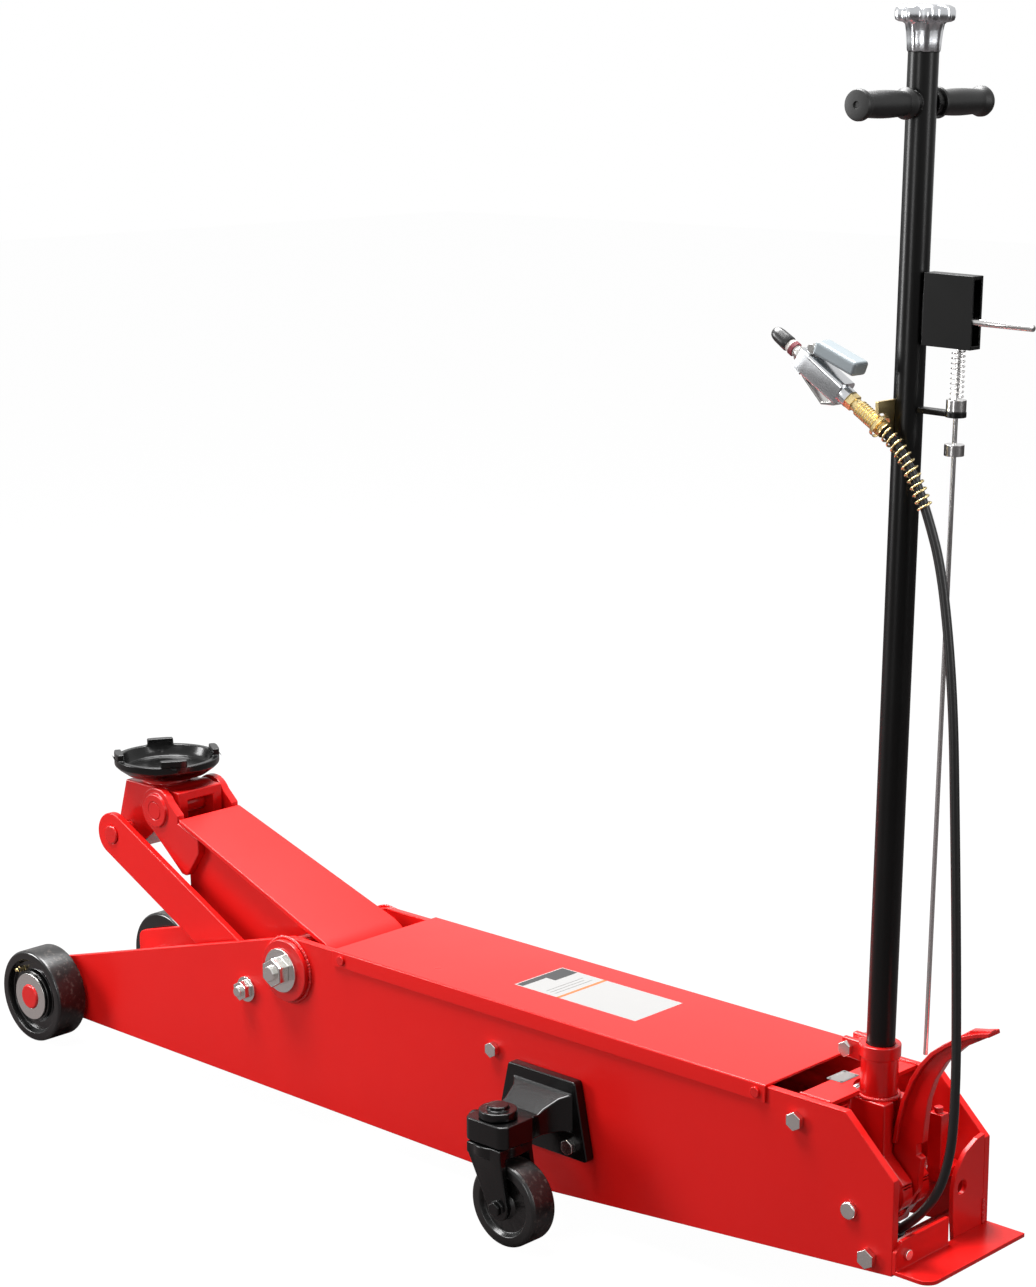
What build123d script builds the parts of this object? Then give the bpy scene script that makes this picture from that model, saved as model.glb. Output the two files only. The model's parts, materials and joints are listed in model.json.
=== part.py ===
"""Long-chassis air-over-hydraulic floor jack, modelled with its lift arm partly raised.

Axes: +Z up, the saddle end towards -X, the handle end towards +X, the near side plate at -Y.
Origin: on the floor, under the middle of the whole jack. Units: millimetres.
"""
import os
from math import atan2, cos, degrees, hypot, radians, sin, tan

from build123d import *

os.makedirs("parts", exist_ok=True)

# ---------------------------------------------------------------- driving dimensions
PLATE_OUT = 90.0          # outer face of each side plate, from the middle plane
PLATE_T = 10.0            # side plate thickness
PLATE_IN = PLATE_OUT - PLATE_T
PLATE_TOP = 247.0         # top edge of the side plates
SHEET = 3.0               # cover sheet thickness

FRONT_AXLE = (-732.0, 65.0)        # x, z of the front axle
FRONT_WHEEL_R = 65.0
FRONT_WHEEL_W = 48.0
FRONT_WHEEL_Y = 95.5               # inner face of a front wheel
FRONT_AXLE_R = 17.3

ARM_PIVOT = (-250.0, 203.0)        # x, z of the main pivot
ARM_TIP = (-550.0, 352.0)          # pivot between arm and lift head
LINK_OFFSET = (-79.0, -46.0)       # from each arm pivot to the matching link pivot
LINK_REAR = (ARM_PIVOT[0] + LINK_OFFSET[0], ARM_PIVOT[1] + LINK_OFFSET[1])
LINK_FRONT = (ARM_TIP[0] + LINK_OFFSET[0], ARM_TIP[1] + LINK_OFFSET[1])
ARM_SHAFT_R = 20.0
TIP_PIN_R = 12.0
LINK_PIN_R = 13.0
LINK_STUB_R = 11.0
CRANK_R = 85.0                     # main pivot to roller centre
CRANK_LEAD = 3.5                   # degrees the crank stands ahead of straight down
RUN = 0.05                         # radial running clearance of pins and shafts

SADDLE_X = -590.0
SADDLE_R = 72.0
SADDLE_BOTTOM = 386.0
SADDLE_RIM = 412.0
HEAD_TOP = 378.0

CASTER_X = 215.0
CASTER_Y = 178.0
CASTER_TRAIL = 24.0
CASTER_R = 51.0
CASTER_W = 38.0

YOKE_PIVOT = (660.0, 136.0)        # x, z of the handle yoke pin
YOKE_PIN_R = 10.0
HANDLE_FOOT = (628.7, 200.0)       # a point on the handle axis
HANDLE_LEAN = 1.2                  # degrees towards the rear
TUBE_R = 15.9
ROD_OFFSET = 60.0                  # latch rod behind the handle axis
ROD_R = 2.5

HOSE_R = 5.2
GUARD_R = 8.0

RAM_Z = 118.0
RAM_FACE = ARM_PIVOT[0] - CRANK_R * sin(radians(CRANK_LEAD)) + 16.0 + 5.0
PLUNGER_Z = 107.0

# handle frame: local X to the rear, local Y along +Y, local Z up the handle
lean = radians(HANDLE_LEAN)
HANDLE = Plane(
    origin=(HANDLE_FOOT[0], 0, HANDLE_FOOT[1]),
    x_dir=(cos(lean), 0, -sin(lean)),
    z_dir=(sin(lean), 0, cos(lean)),
)


def up_handle(height):
    """Plane square to the handle axis, that far above its foot point."""
    return HANDLE.offset(height)


def side_plane(y):
    """Plane seen from the near side (local X to the rear, local Y up), facing -Y."""
    return Plane.XZ.offset(-y)


def disc_stack(x, z, y_far, y_near, radius):
    """Cylinder along Y from y_far to the smaller y_near, added to the active part."""
    with BuildSketch(side_plane(y_far)) as disc:
        with Locations((x, z)):
            Circle(radius)
    extrude(disc.sketch, amount=y_far - y_near)


def hex_head(x, z, y_face, across, thick, side):
    """Hexagon head standing on a face at y_face; side -1 is the near side, 1 the far side."""
    start = y_face if side < 0 else y_face + thick
    with BuildSketch(side_plane(start)) as hexagon:
        with Locations((x, z)):
            RegularPolygon(across / 2, 6, major_radius=False, rotation=30)
    extrude(hexagon.sketch, amount=thick)


made = {}


def keep(piece, name):
    """Label a finished piece and write its STEP file."""
    piece.part.label = name
    export_step(piece.part, f"parts/{name}.step")
    made[name] = piece


# ================================================================ chassis
PLATE_OUTLINE = [
    (-766, 50), (-746, 30), (202, 28), (718, 75.5), (718, 184.5), (652, PLATE_TOP),
    (-242, PLATE_TOP), (-766, 101),
]


def side_plate(y_inner_to_outer):
    """One flame-cut side plate with its shaft and bolt holes."""
    with BuildPart() as plate:
        with BuildSketch(side_plane(y_inner_to_outer)):
            with BuildLine():
                Polyline(*PLATE_OUTLINE, close=True)
            make_face()
            fillet(vertices().sort_by(Axis.X)[:2], 12)
            with Locations(FRONT_AXLE):
                Circle(FRONT_AXLE_R, mode=Mode.SUBTRACT)
            with Locations(ARM_PIVOT):
                Circle(ARM_SHAFT_R, mode=Mode.SUBTRACT)
            with Locations(LINK_REAR):
                Circle(LINK_STUB_R, mode=Mode.SUBTRACT)
            with Locations(YOKE_PIVOT):
                Circle(YOKE_PIN_R, mode=Mode.SUBTRACT)
        extrude(amount=PLATE_T)
    return plate


side_plate_near = side_plate(-PLATE_IN)
keep(side_plate_near, "side_plate_near")
side_plate_far = side_plate(PLATE_OUT)
keep(side_plate_far, "side_plate_far")

COVER_X0, COVER_X1 = -158.0, 543.0
FLANGE_BOTTOM = 229.0
with BuildPart() as cover:
    with BuildSketch(Plane.YZ.offset(COVER_X0)):
        with BuildLine():
            Polyline(
                (-PLATE_OUT - SHEET, FLANGE_BOTTOM), (-PLATE_OUT - SHEET, PLATE_TOP + SHEET),
                (PLATE_OUT + SHEET, PLATE_TOP + SHEET), (PLATE_OUT + SHEET, FLANGE_BOTTOM),
                (PLATE_OUT, FLANGE_BOTTOM), (PLATE_OUT, PLATE_TOP),
                (-PLATE_OUT, PLATE_TOP), (-PLATE_OUT, FLANGE_BOTTOM), close=True,
            )
        make_face()
    extrude(amount=COVER_X1 - COVER_X0)
    fillet(cover.edges().filter_by(Axis.X).group_by(Axis.Z)[-1], 2.2)
keep(cover, "cover")

STRIP_X0, STRIP_X1 = 581.0, 624.0
with BuildPart() as rear_strip:
    with BuildSketch(Plane.XY.offset(PLATE_TOP - 5)):
        with Locations(((STRIP_X0 + STRIP_X1) / 2, 0)):
            Rectangle(STRIP_X1 - STRIP_X0, 2 * PLATE_IN)
        with Locations((HANDLE_FOOT[0] + 1, 0)):
            Circle(28, mode=Mode.SUBTRACT)
    extrude(amount=5)
keep(rear_strip, "rear_strip")

with BuildPart() as spec_plate:
    with BuildSketch(Plane.XY.offset(PLATE_TOP)):
        with Locations((586, -8)):
            RectangleRounded(22, 33, 2)
    extrude(amount=0.6)
    with BuildSketch(Plane.XY.offset(PLATE_TOP + 0.6)):
        with Locations((586, -8)):
            with GridLocations(16, 27, 2, 2):
                Circle(1.6)
    extrude(amount=0.8)
keep(spec_plate, "spec_plate")

# welded boss rings round the main pivot, outside each plate
with BuildPart() as pivot_bosses:
    for side in (-1, 1):
        y0, y1 = side * PLATE_OUT, side * (PLATE_OUT + 9)
        with BuildSketch(side_plane(max(y0, y1))):
            with Locations((ARM_PIVOT[0] + 4, ARM_PIVOT[1])):
                Circle(41)
            with Locations(ARM_PIVOT):
                Circle(ARM_SHAFT_R, mode=Mode.SUBTRACT)
        extrude(amount=9)
keep(pivot_bosses, "pivot_bosses")

with BuildPart() as pivot_shafts:
    disc_stack(*ARM_PIVOT, PLATE_OUT + 9, -PLATE_OUT - 9, ARM_SHAFT_R)
    for side in (-1, 1):
        ys = sorted((side * 59.0, side * PLATE_OUT))
        disc_stack(*LINK_REAR, ys[1], ys[0], LINK_STUB_R)
keep(pivot_shafts, "pivot_shafts")

with BuildPart() as pivot_washers:
    for side in (-1, 1):
        for (px, pz), face, radius in ((ARM_PIVOT, PLATE_OUT + 9, 29), (LINK_REAR, PLATE_OUT, 17)):
            y0, y1 = side * face, side * (face + 3)
            disc_stack(px, pz, max(y0, y1), min(y0, y1), radius)
keep(pivot_washers, "pivot_washers")

with BuildPart() as pivot_bolts:
    for side in (-1, 1):
        for (px, pz), face, across, thick in (
            (ARM_PIVOT, PLATE_OUT + 12, 34, 15), (LINK_REAR, PLATE_OUT + 3, 23, 11),
        ):
            hex_head(px, pz, side * face, across, thick, side)
    chamfer(pivot_bolts.faces().filter_by(Axis.Y).sort_by(Axis.Y)[0].edges(), 1.2)
    chamfer(pivot_bolts.faces().filter_by(Axis.Y).sort_by(Axis.Y)[-1].edges(), 1.2)
keep(pivot_bolts, "pivot_bolts")

TIE_RODS = ((124.0, 187.0, 17.0), (586.0, 220.0, 19.0), (687.0, 89.0, 20.0))
with BuildPart() as chassis_bolts:
    for rod_x, rod_z, across in TIE_RODS:
        disc_stack(rod_x, rod_z, PLATE_IN, -PLATE_IN, 7.5)
        for side in (-1, 1):
            hex_head(rod_x, rod_z, side * PLATE_OUT, across, 8, side)
    for side in (-1, 1):
        for bolt_x, bolt_z in ((160, 104), (262, 104)):
            hex_head(bolt_x, bolt_z, side * (PLATE_OUT + 14), 17, 8, side)
        for screw_x in (-142, 530):
            ys = sorted((side * (PLATE_OUT + SHEET), side * (PLATE_OUT + SHEET + 3)))
            disc_stack(screw_x, 239, ys[1], ys[0], 6)
    with BuildSketch(Plane.YZ.offset(723)):
        with Locations((-70, 97)):
            Circle(6)
    extrude(amount=4)
keep(chassis_bolts, "chassis_bolts")

# ---------------------------------------------------------------- front axle and wheels
with BuildPart() as front_axle:
    disc_stack(*FRONT_AXLE, 147, -147, FRONT_AXLE_R)
    chamfer(front_axle.edges().filter_by(GeomType.CIRCLE), 1.5)
keep(front_axle, "front_axle")

with BuildPart() as axle_washers:
    for side in (-1, 1):
        for inner, outer, radius in ((PLATE_OUT, FRONT_WHEEL_Y - 0.5, 26), (141.5, 144.5, 33)):
            ys = sorted((side * inner, side * outer))
            with BuildSketch(side_plane(ys[1])):
                with Locations(FRONT_AXLE):
                    Circle(radius)
                    Circle(FRONT_AXLE_R, mode=Mode.SUBTRACT)
            extrude(amount=ys[1] - ys[0])
keep(axle_washers, "axle_washers")


NIPPLE_AT = (FRONT_AXLE[0] - 30, FRONT_AXLE[1] + 32)


def front_wheel(side):
    """Cast iron wheel: recessed face, raised hub, plain rounded tread, grease nipple."""
    inner, outer = FRONT_WHEEL_Y, FRONT_WHEEL_Y + FRONT_WHEEL_W
    bore = FRONT_AXLE_R + RUN
    with BuildPart() as wheel:
        with BuildSketch(Plane(origin=(FRONT_AXLE[0], 0, FRONT_AXLE[1]), x_dir=(1, 0, 0),
                               z_dir=(0, 0, 1))):
            with BuildLine():
                Polyline(
                    (bore, side * inner), (50, side * inner), (FRONT_WHEEL_R, side * inner),
                    (FRONT_WHEEL_R, side * outer), (53, side * outer),
                    (50, side * (outer - 9)), (38, side * (outer - 9)),
                    (36, side * (outer - 3)), (bore, side * (outer - 3)), close=True,
                )
            make_face()
        revolve(axis=Axis((FRONT_AXLE[0], 0, FRONT_AXLE[1]), (0, 1, 0)))
        rims = wheel.edges().filter_by(GeomType.CIRCLE).filter_by(
            lambda e: abs(e.radius - FRONT_WHEEL_R) < 0.1)
        fillet(rims, 4)
        for length, radius in ((6, 3.5), (10, 2.2)):
            ys = sorted((side * (outer - 9), side * (outer - 9 + length)))
            disc_stack(*NIPPLE_AT, ys[1], ys[0], radius)
    return wheel


front_wheel_near = front_wheel(-1)
keep(front_wheel_near, "front_wheel_near")
front_wheel_far = front_wheel(1)
keep(front_wheel_far, "front_wheel_far")

# ================================================================ lift arm
arm_dx, arm_dz = ARM_TIP[0] - ARM_PIVOT[0], ARM_TIP[1] - ARM_PIVOT[1]
ARM_SIDE = (34.0, 42.0)            # inner and outer face of an arm side plate
EAR = (42.0, 54.0)                 # inner and outer face of an arm ear
TOP_T = 6.0


def top_z(x):
    """Height of the arm's top surface above a point x."""
    return 346.0 - 0.35 * (x + 500.0)


UNDER = TOP_T * 1.06 + 0.05        # underside of the sloping top plate, measured upright
ROLL_X = -212.0                    # where the top plate starts to roll down round the hub

with BuildPart() as arm_side_plates:
    for y in (-ARM_SIDE[0], ARM_SIDE[1]):
        with BuildSketch(side_plane(y)):
            with BuildLine():
                Polyline(
                    (-500, top_z(-500) - UNDER), (ROLL_X, top_z(ROLL_X) - UNDER),
                    (-196, 214), (-214, 158), (-300, 140), (-496, 232), close=True,
                )
            make_face()
            with Locations(ARM_PIVOT):
                Circle(44)
                Circle(36, mode=Mode.SUBTRACT)
        extrude(amount=ARM_SIDE[1] - ARM_SIDE[0])
    # cross bar between the two side plates at the saddle end
    with BuildSketch(side_plane(ARM_SIDE[0])):
        with BuildLine():
            Polyline((-490, 300), (-466, 288), (-472, 268), (-484, 276), close=True)
        make_face()
    extrude(amount=2 * ARM_SIDE[0])
keep(arm_side_plates, "arm_side_plates")

with BuildPart() as arm_top_plate:
    with BuildSketch(Plane.XZ):
        with BuildLine():
            top_a = Line((-503, top_z(-503)), (ROLL_X, top_z(ROLL_X)))
            top_b = JernArc(start=top_a @ 1, tangent=top_a % 1, radius=62, arc_size=-40)
            end_dir = top_b % 1
            inset = Vector(-end_dir.Y, end_dir.X) * -TOP_T
            top_c = Line(top_b @ 1, top_b @ 1 + inset)
            top_d = JernArc(start=top_c @ 1, tangent=end_dir * -1, radius=62 - TOP_T,
                            arc_size=40)
            top_e = Line(top_d @ 1, (-503, top_z(-503) - TOP_T * 1.06))
            Line(top_e @ 1, top_a @ 0)
        make_face()
    extrude(amount=70, both=True)
    # plan outline: narrower at the saddle end
    with BuildSketch(Plane.XY.offset(100)):
        with BuildLine():
            Polyline((-520, -53), (-212, -65), (-140, -65), (-140, 65), (-212, 65), (-520, 53),
                     close=True)
        make_face()
    extrude(amount=300, mode=Mode.INTERSECT)
keep(arm_top_plate, "arm_top_plate")

with BuildPart() as arm_ears:
    for y in (-EAR[0], EAR[1]):
        with BuildSketch(side_plane(y)):
            with BuildLine():
                Polyline((-569, 372), (-560, 382), (-540, 382), (-505, 352), (-505, 341),
                         (-464, 326.5), (-464, 306), (-489, 270), (-500, 272), (-574, 334),
                         close=True)
            make_face()
            fillet(vertices().filter_by(lambda v: v.X > -495 and v.Y < 310), 9)
            with Locations(ARM_TIP):
                Circle(31)
                Circle(TIP_PIN_R, mode=Mode.SUBTRACT)
        extrude(amount=EAR[1] - EAR[0])
    for side in (-1, 1):
        ys = sorted((side * EAR[1], side * (EAR[1] + 4)))
        with BuildSketch(side_plane(ys[1])):
            with Locations(ARM_TIP):
                Circle(23)
                Circle(TIP_PIN_R, mode=Mode.SUBTRACT)
        extrude(amount=4)
keep(arm_ears, "arm_ears")

with BuildPart() as tip_pin:
    disc_stack(*ARM_TIP, EAR[1] + 4, -EAR[1] - 4, TIP_PIN_R)
keep(tip_pin, "tip_pin")

crank_x = ARM_PIVOT[0] - CRANK_R * sin(radians(CRANK_LEAD))
crank_z = ARM_PIVOT[1] - CRANK_R * cos(radians(CRANK_LEAD))
with BuildPart() as arm_hub:
    disc_stack(*ARM_PIVOT, 78, -78, 35.9)
    for y in (24, -12):
        with BuildSketch(side_plane(y)):
            with BuildLine():
                Polyline((ARM_PIVOT[0] - 34, ARM_PIVOT[1] - 18), (crank_x - 20, crank_z),
                         (crank_x + 20, crank_z), (ARM_PIVOT[0] + 34, ARM_PIVOT[1] - 18),
                         close=True)
            make_face()
            with Locations((crank_x, crank_z)):
                Circle(20)
                Circle(8, mode=Mode.SUBTRACT)
        extrude(amount=12)
    with BuildSketch(side_plane(90)):
        with Locations(ARM_PIVOT):
            Circle(ARM_SHAFT_R + RUN)
    extrude(amount=180, mode=Mode.SUBTRACT)
keep(arm_hub, "arm_hub")

with BuildPart() as crank_roller:
    disc_stack(crank_x, crank_z, 10, -10, 16)
    disc_stack(crank_x, crank_z, 24, -24, 8)
keep(crank_roller, "crank_roller")

# ---------------------------------------------------------------- lift head
HEAD_Y = 38.0
CHEEK_T = 16.0
with BuildPart() as lift_head:
    with BuildSketch(side_plane(HEAD_Y)):
        with BuildLine():
            Polyline((-634, HEAD_TOP), (-648, 332), (-655, 306), (-640, 282), (-618, 281),
                     (-570, 318), (-530, 322), (-520, 340), (-520, HEAD_TOP), close=True)
        make_face()
        with Locations(LINK_FRONT):
            Circle(26)
        with Locations(ARM_TIP):
            Circle(29)
        with Locations(ARM_TIP):
            Circle(TIP_PIN_R + RUN, mode=Mode.SUBTRACT)
        with Locations(LINK_FRONT):
            Circle(LINK_PIN_R + RUN, mode=Mode.SUBTRACT)
    extrude(amount=2 * HEAD_Y)
    # hollow between the cheeks, under the top plate
    with BuildSketch(side_plane(HEAD_Y - CHEEK_T)):
        with BuildLine():
            Polyline((-574, HEAD_TOP - 13), (-574, 250), (-500, 250), (-500, HEAD_TOP - 13),
                     close=True)
        make_face()
    extrude(amount=2 * (HEAD_Y - CHEEK_T), mode=Mode.SUBTRACT)
    with BuildSketch(Plane.XY.offset(HEAD_TOP)):
        with Locations((SADDLE_X, 0)):
            Circle(34)
    extrude(amount=SADDLE_BOTTOM - HEAD_TOP - 0.3)
    with BuildSketch(Plane.XY.offset(335)):
        with Locations((SADDLE_X, 0)):
            Circle(14 + RUN)
    extrude(amount=60, mode=Mode.SUBTRACT)
keep(lift_head, "lift_head")

LUG_FIRST = 58.6
with BuildPart() as saddle:
    with BuildSketch(Plane(origin=(SADDLE_X, 0, 0), x_dir=(1, 0, 0), z_dir=(0, -1, 0))):
        with BuildLine():
            Polyline((0, SADDLE_BOTTOM), (44, SADDLE_BOTTOM), (56, SADDLE_BOTTOM + 4),
                     (67, SADDLE_BOTTOM + 12), (SADDLE_R, SADDLE_BOTTOM + 17),
                     (SADDLE_R, SADDLE_RIM), (64, SADDLE_RIM), (60, 401), (57, 397), (0, 397),
                     close=True)
        make_face()
    revolve(axis=Axis((SADDLE_X, 0, 0), (0, 0, 1)))
    with BuildSketch(Plane(origin=(SADDLE_X, 0, SADDLE_RIM - 8))):
        with PolarLocations(66.3, 4, start_angle=LUG_FIRST):
            Rectangle(10.5, 36)
        Circle(SADDLE_R, mode=Mode.INTERSECT)
    extrude(amount=17)
    with BuildSketch(Plane.XY.offset(SADDLE_BOTTOM)):
        with Locations((SADDLE_X, 0)):
            Circle(14)
    extrude(amount=-48)
keep(saddle, "saddle")

# ---------------------------------------------------------------- front links
LINK_Y = (60.0, 70.0)
LINK_HALF = 30.0
link_dx, link_dz = LINK_FRONT[0] - LINK_REAR[0], LINK_FRONT[1] - LINK_REAR[1]
LINK_LENGTH = hypot(link_dx, link_dz)
link_angle = degrees(atan2(link_dz, link_dx))


link_middle = ((LINK_FRONT[0] + LINK_REAR[0]) / 2, (LINK_FRONT[1] + LINK_REAR[1]) / 2)
with BuildPart() as front_links:
    for y in (-LINK_Y[0], LINK_Y[1]):
        with BuildSketch(side_plane(y)):
            with Locations(Location((link_middle[0], link_middle[1]), link_angle)):
                SlotCenterToCenter(LINK_LENGTH, 2 * LINK_HALF)
            with Locations(LINK_FRONT):
                Circle(LINK_PIN_R, mode=Mode.SUBTRACT)
            with Locations(LINK_REAR):
                Circle(LINK_STUB_R + RUN, mode=Mode.SUBTRACT)
        extrude(amount=LINK_Y[1] - LINK_Y[0])
keep(front_links, "front_links")

with BuildPart() as link_pin:
    disc_stack(*LINK_FRONT, LINK_Y[1] + 3, -LINK_Y[1] - 3, LINK_PIN_R)
    chamfer(link_pin.edges().filter_by(GeomType.CIRCLE), 1.2)
keep(link_pin, "link_pin")

# ================================================================ hydraulic unit
with BuildPart() as ram_rod:
    with BuildSketch(Plane.YZ.offset(RAM_FACE)):
        with Locations((0, RAM_Z + 9)):
            RectangleRounded(21, 70, 4)
    extrude(amount=20)
    with BuildSketch(Plane.YZ.offset(RAM_FACE + 20)):
        with Locations((0, RAM_Z)):
            Circle(14)
    extrude(amount=280)
    with BuildSketch(Plane.YZ.offset(RAM_FACE + 300)):
        with Locations((0, RAM_Z)):
            Circle(25.95)
    extrude(amount=22)
keep(ram_rod, "ram_rod")

RAM_FRONT, RAM_BACK = -52.0, 240.0
with BuildPart() as ram_cylinder:
    with BuildSketch(Plane.YZ.offset(RAM_FRONT)):
        with Locations((0, RAM_Z)):
            Circle(36)
            Circle(26, mode=Mode.SUBTRACT)
    extrude(amount=RAM_BACK - RAM_FRONT)
    with BuildSketch(Plane.YZ.offset(RAM_FRONT - 16)):
        with Locations((0, RAM_Z)):
            Circle(40)
            Circle(14 + RUN, mode=Mode.SUBTRACT)
    extrude(amount=16)
keep(ram_cylinder, "ram_cylinder")

with BuildPart() as reservoir:
    with BuildSketch(Plane.YZ.offset(RAM_BACK)):
        with Locations((0, RAM_Z)):
            Circle(48)
    extrude(amount=300)
    fillet(reservoir.edges().filter_by(GeomType.CIRCLE), 5)
keep(reservoir, "reservoir")

BLOCK_X0, BLOCK_X1 = RAM_BACK + 300, 598.0
with BuildPart() as power_block:
    with BuildSketch(Plane.YZ.offset(BLOCK_X0)):
        with Locations((0, RAM_Z)):
            RectangleRounded(100, 104, 6)
    extrude(amount=BLOCK_X1 - BLOCK_X0)
    with BuildSketch(Plane.YZ.offset(BLOCK_X1)):
        with Locations((0, PLUNGER_Z)):
            Circle(8 + RUN)
    extrude(amount=-54, mode=Mode.SUBTRACT)
    # side lugs that carry the block between the side plates
    with BuildSketch(Plane.YZ.offset(BLOCK_X0 + 8)):
        with Locations((0, RAM_Z)):
            Rectangle(2 * PLATE_IN, 40)
            Rectangle(100, 40, mode=Mode.SUBTRACT)
    extrude(amount=40)
keep(power_block, "power_block")

with BuildPart() as pump_plunger:
    with BuildSketch(Plane.YZ.offset(574)):
        with Locations((0, PLUNGER_Z)):
            Circle(8)
    extrude(amount=50)
    with BuildSketch(Plane.YZ.offset(624)):
        with Locations((0, PLUNGER_Z)):
            Circle(15)
    extrude(amount=7)
keep(pump_plunger, "pump_plunger")

with BuildPart() as air_motor:
    with BuildSketch(Plane.YZ.offset(325)):
        with Locations((55, 194)):
            Circle(22)
    extrude(amount=240)
    fillet(air_motor.edges().filter_by(GeomType.CIRCLE), 4)
    with BuildSketch(Plane.YZ.offset(545)):
        with Locations((40, 175)):
            Rectangle(18, 10)
    extrude(amount=18)
keep(air_motor, "air_motor")

# ---------------------------------------------------------------- rear end fittings
FOOT_Z = 78.0
FLANGE_END = 8.0                   # the upright flange stops here; the far half is open
with BuildPart() as foot_plate:
    with BuildSketch(Plane.XY.offset(FOOT_Z)):
        with Locations((743, 0)):
            Rectangle(50, 2 * PLATE_OUT)
        fillet(vertices().sort_by(Axis.X)[-2:].sort_by(Axis.Y)[0], 16)
    extrude(amount=5)
    with BuildSketch(Plane.YZ.offset(718)):
        with BuildLine():
            Polyline((-PLATE_OUT, FOOT_Z), (-PLATE_OUT, 104), (-PLATE_OUT + 11, 115),
                     (FLANGE_END, 115), (FLANGE_END, FOOT_Z), close=True)
        make_face()
    extrude(amount=5)
keep(foot_plate, "foot_plate")

with BuildPart() as rear_bracket:
    with BuildSketch(Plane.YZ.offset(712)):
        with BuildLine():
            Polyline((26, 78), (79.9, 78), (79.9, 190), (66, 188), (44, 178), (28, 160),
                     (22, 139), (22, 112), close=True)
        make_face()
        with Locations((38.5, 139)):
            Circle(8.5, mode=Mode.SUBTRACT)
    extrude(amount=6)
keep(rear_bracket, "rear_bracket")

with BuildPart() as valve_block:
    with BuildSketch(Plane.XY.offset(160)):
        with Locations((684, 38)):
            Rectangle(18, 14)
    extrude(amount=58)
    with BuildSketch(Plane.XY.offset(218)):
        with Locations((684, 38)):
            Circle(5)
    extrude(amount=7)
    with BuildSketch(Plane.YZ.offset(675)):
        with Locations((58, 145)):
            Rectangle(42, 10)
    extrude(amount=18)
    with BuildSketch(Plane.YZ.offset(675)):
        with Locations((38, 150)):
            Rectangle(14, 22)
    extrude(amount=18)
keep(valve_block, "valve_block")

with BuildPart() as yoke_pin:
    disc_stack(*YOKE_PIVOT, PLATE_OUT + 5, -PLATE_OUT - 5, YOKE_PIN_R)
    chamfer(yoke_pin.edges().filter_by(GeomType.CIRCLE), 1.2)
    for side in (-1, 1):
        ys = sorted((side * 26.0, side * PLATE_IN))
        with BuildSketch(side_plane(ys[1])):
            with Locations(YOKE_PIVOT):
                Circle(15)
                Circle(YOKE_PIN_R, mode=Mode.SUBTRACT)
        extrude(amount=ys[1] - ys[0])
keep(yoke_pin, "yoke_pin")

# ================================================================ casters
def caster_bracket(side):
    """Cast bracket: base plate, and a solid arm that narrows out to the kingpin boss."""
    base_far = PLATE_OUT if side < 0 else PLATE_OUT + 14
    with BuildPart() as bracket:
        with BuildSketch(side_plane(side * base_far)):
            with BuildLine():
                Polyline((160, 184), (268, 184), (288, 88), (138, 88), close=True)
            make_face()
            fillet(vertices(), 5)
        extrude(amount=14)
        with BuildSketch(Plane.XY.offset(122)):
            with BuildLine():
                Polyline((170, side * 104), (178, side * 114), (184, side * 134),
                         (184, side * 160), (246, side * 160), (246, side * 134),
                         (253, side * 114), (264, side * 104), close=True)
            make_face()
        extrude(amount=48)
        with BuildSketch(Plane.XY.offset(122)):
            with Locations((CASTER_X, side * (CASTER_Y - 4))):
                RectangleRounded(66, 60, 12)
        extrude(amount=28)
        # the arm's top slopes down from the base plate to the boss
        with BuildSketch(Plane.YZ.offset(150)):
            with BuildLine():
                Polyline((side * 104, 168), (side * 142, 150), (side * 220, 150),
                         (side * 220, 176), (side * 104, 176), close=True)
            make_face()
        extrude(amount=140, mode=Mode.SUBTRACT)
        with BuildSketch(Plane.YZ.offset(CASTER_X - 42)):
            with Locations((side * CASTER_Y, 137)):
                Circle(11)
        extrude(amount=12)
        with BuildSketch(Plane.XY.offset(100)):
            with Locations((CASTER_X, side * CASTER_Y)):
                Circle(10 + RUN)
        extrude(amount=80, mode=Mode.SUBTRACT)
    return bracket


def caster_fork(side):
    """Swivelling fork: crown with kingpin and cap above the bracket, two tapered legs."""
    with BuildPart() as fork:
        with BuildSketch(Plane.XY.offset(108)):
            with Locations((CASTER_X, side * CASTER_Y)):
                Circle(31)
            with Locations((CASTER_X + 2, side * CASTER_Y)):
                Rectangle(54, 56)
        extrude(amount=13.5)
        with BuildSketch(Plane.XY.offset(121)):
            with Locations((CASTER_X, side * CASTER_Y)):
                Circle(10)
        extrude(amount=30)
        with BuildSketch(Plane.XY.offset(150.5)):
            with Locations((CASTER_X, side * CASTER_Y)):
                Circle(23)
        extrude(amount=10)
        with BuildSketch(Plane.XY.offset(160.5)):
            with Locations((CASTER_X, side * CASTER_Y)):
                Circle(13)
        extrude(amount=5)
        for y in (CASTER_Y + 28, CASTER_Y - 21):
            start = side * y if side > 0 else -(y - 7)
            with BuildSketch(side_plane(start)):
                with BuildLine():
                    Polyline((CASTER_X - 25, 112), (CASTER_X + 29, 112),
                             (CASTER_X + CASTER_TRAIL + 15, CASTER_R + 4),
                             (CASTER_X + CASTER_TRAIL - 15, CASTER_R - 2), close=True)
                make_face()
                with Locations((CASTER_X + CASTER_TRAIL, CASTER_R)):
                    Circle(16)
            extrude(amount=7)
        wheel_x = CASTER_X + CASTER_TRAIL
        disc_stack(wheel_x, CASTER_R, side * CASTER_Y + 21, side * CASTER_Y - 21, 6)
        hex_head(wheel_x, CASTER_R, side * (CASTER_Y + 28), 16, 7, side)
        hex_head(wheel_x, CASTER_R, side * (CASTER_Y - 28), 16, 7, -side)
    return fork


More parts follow.
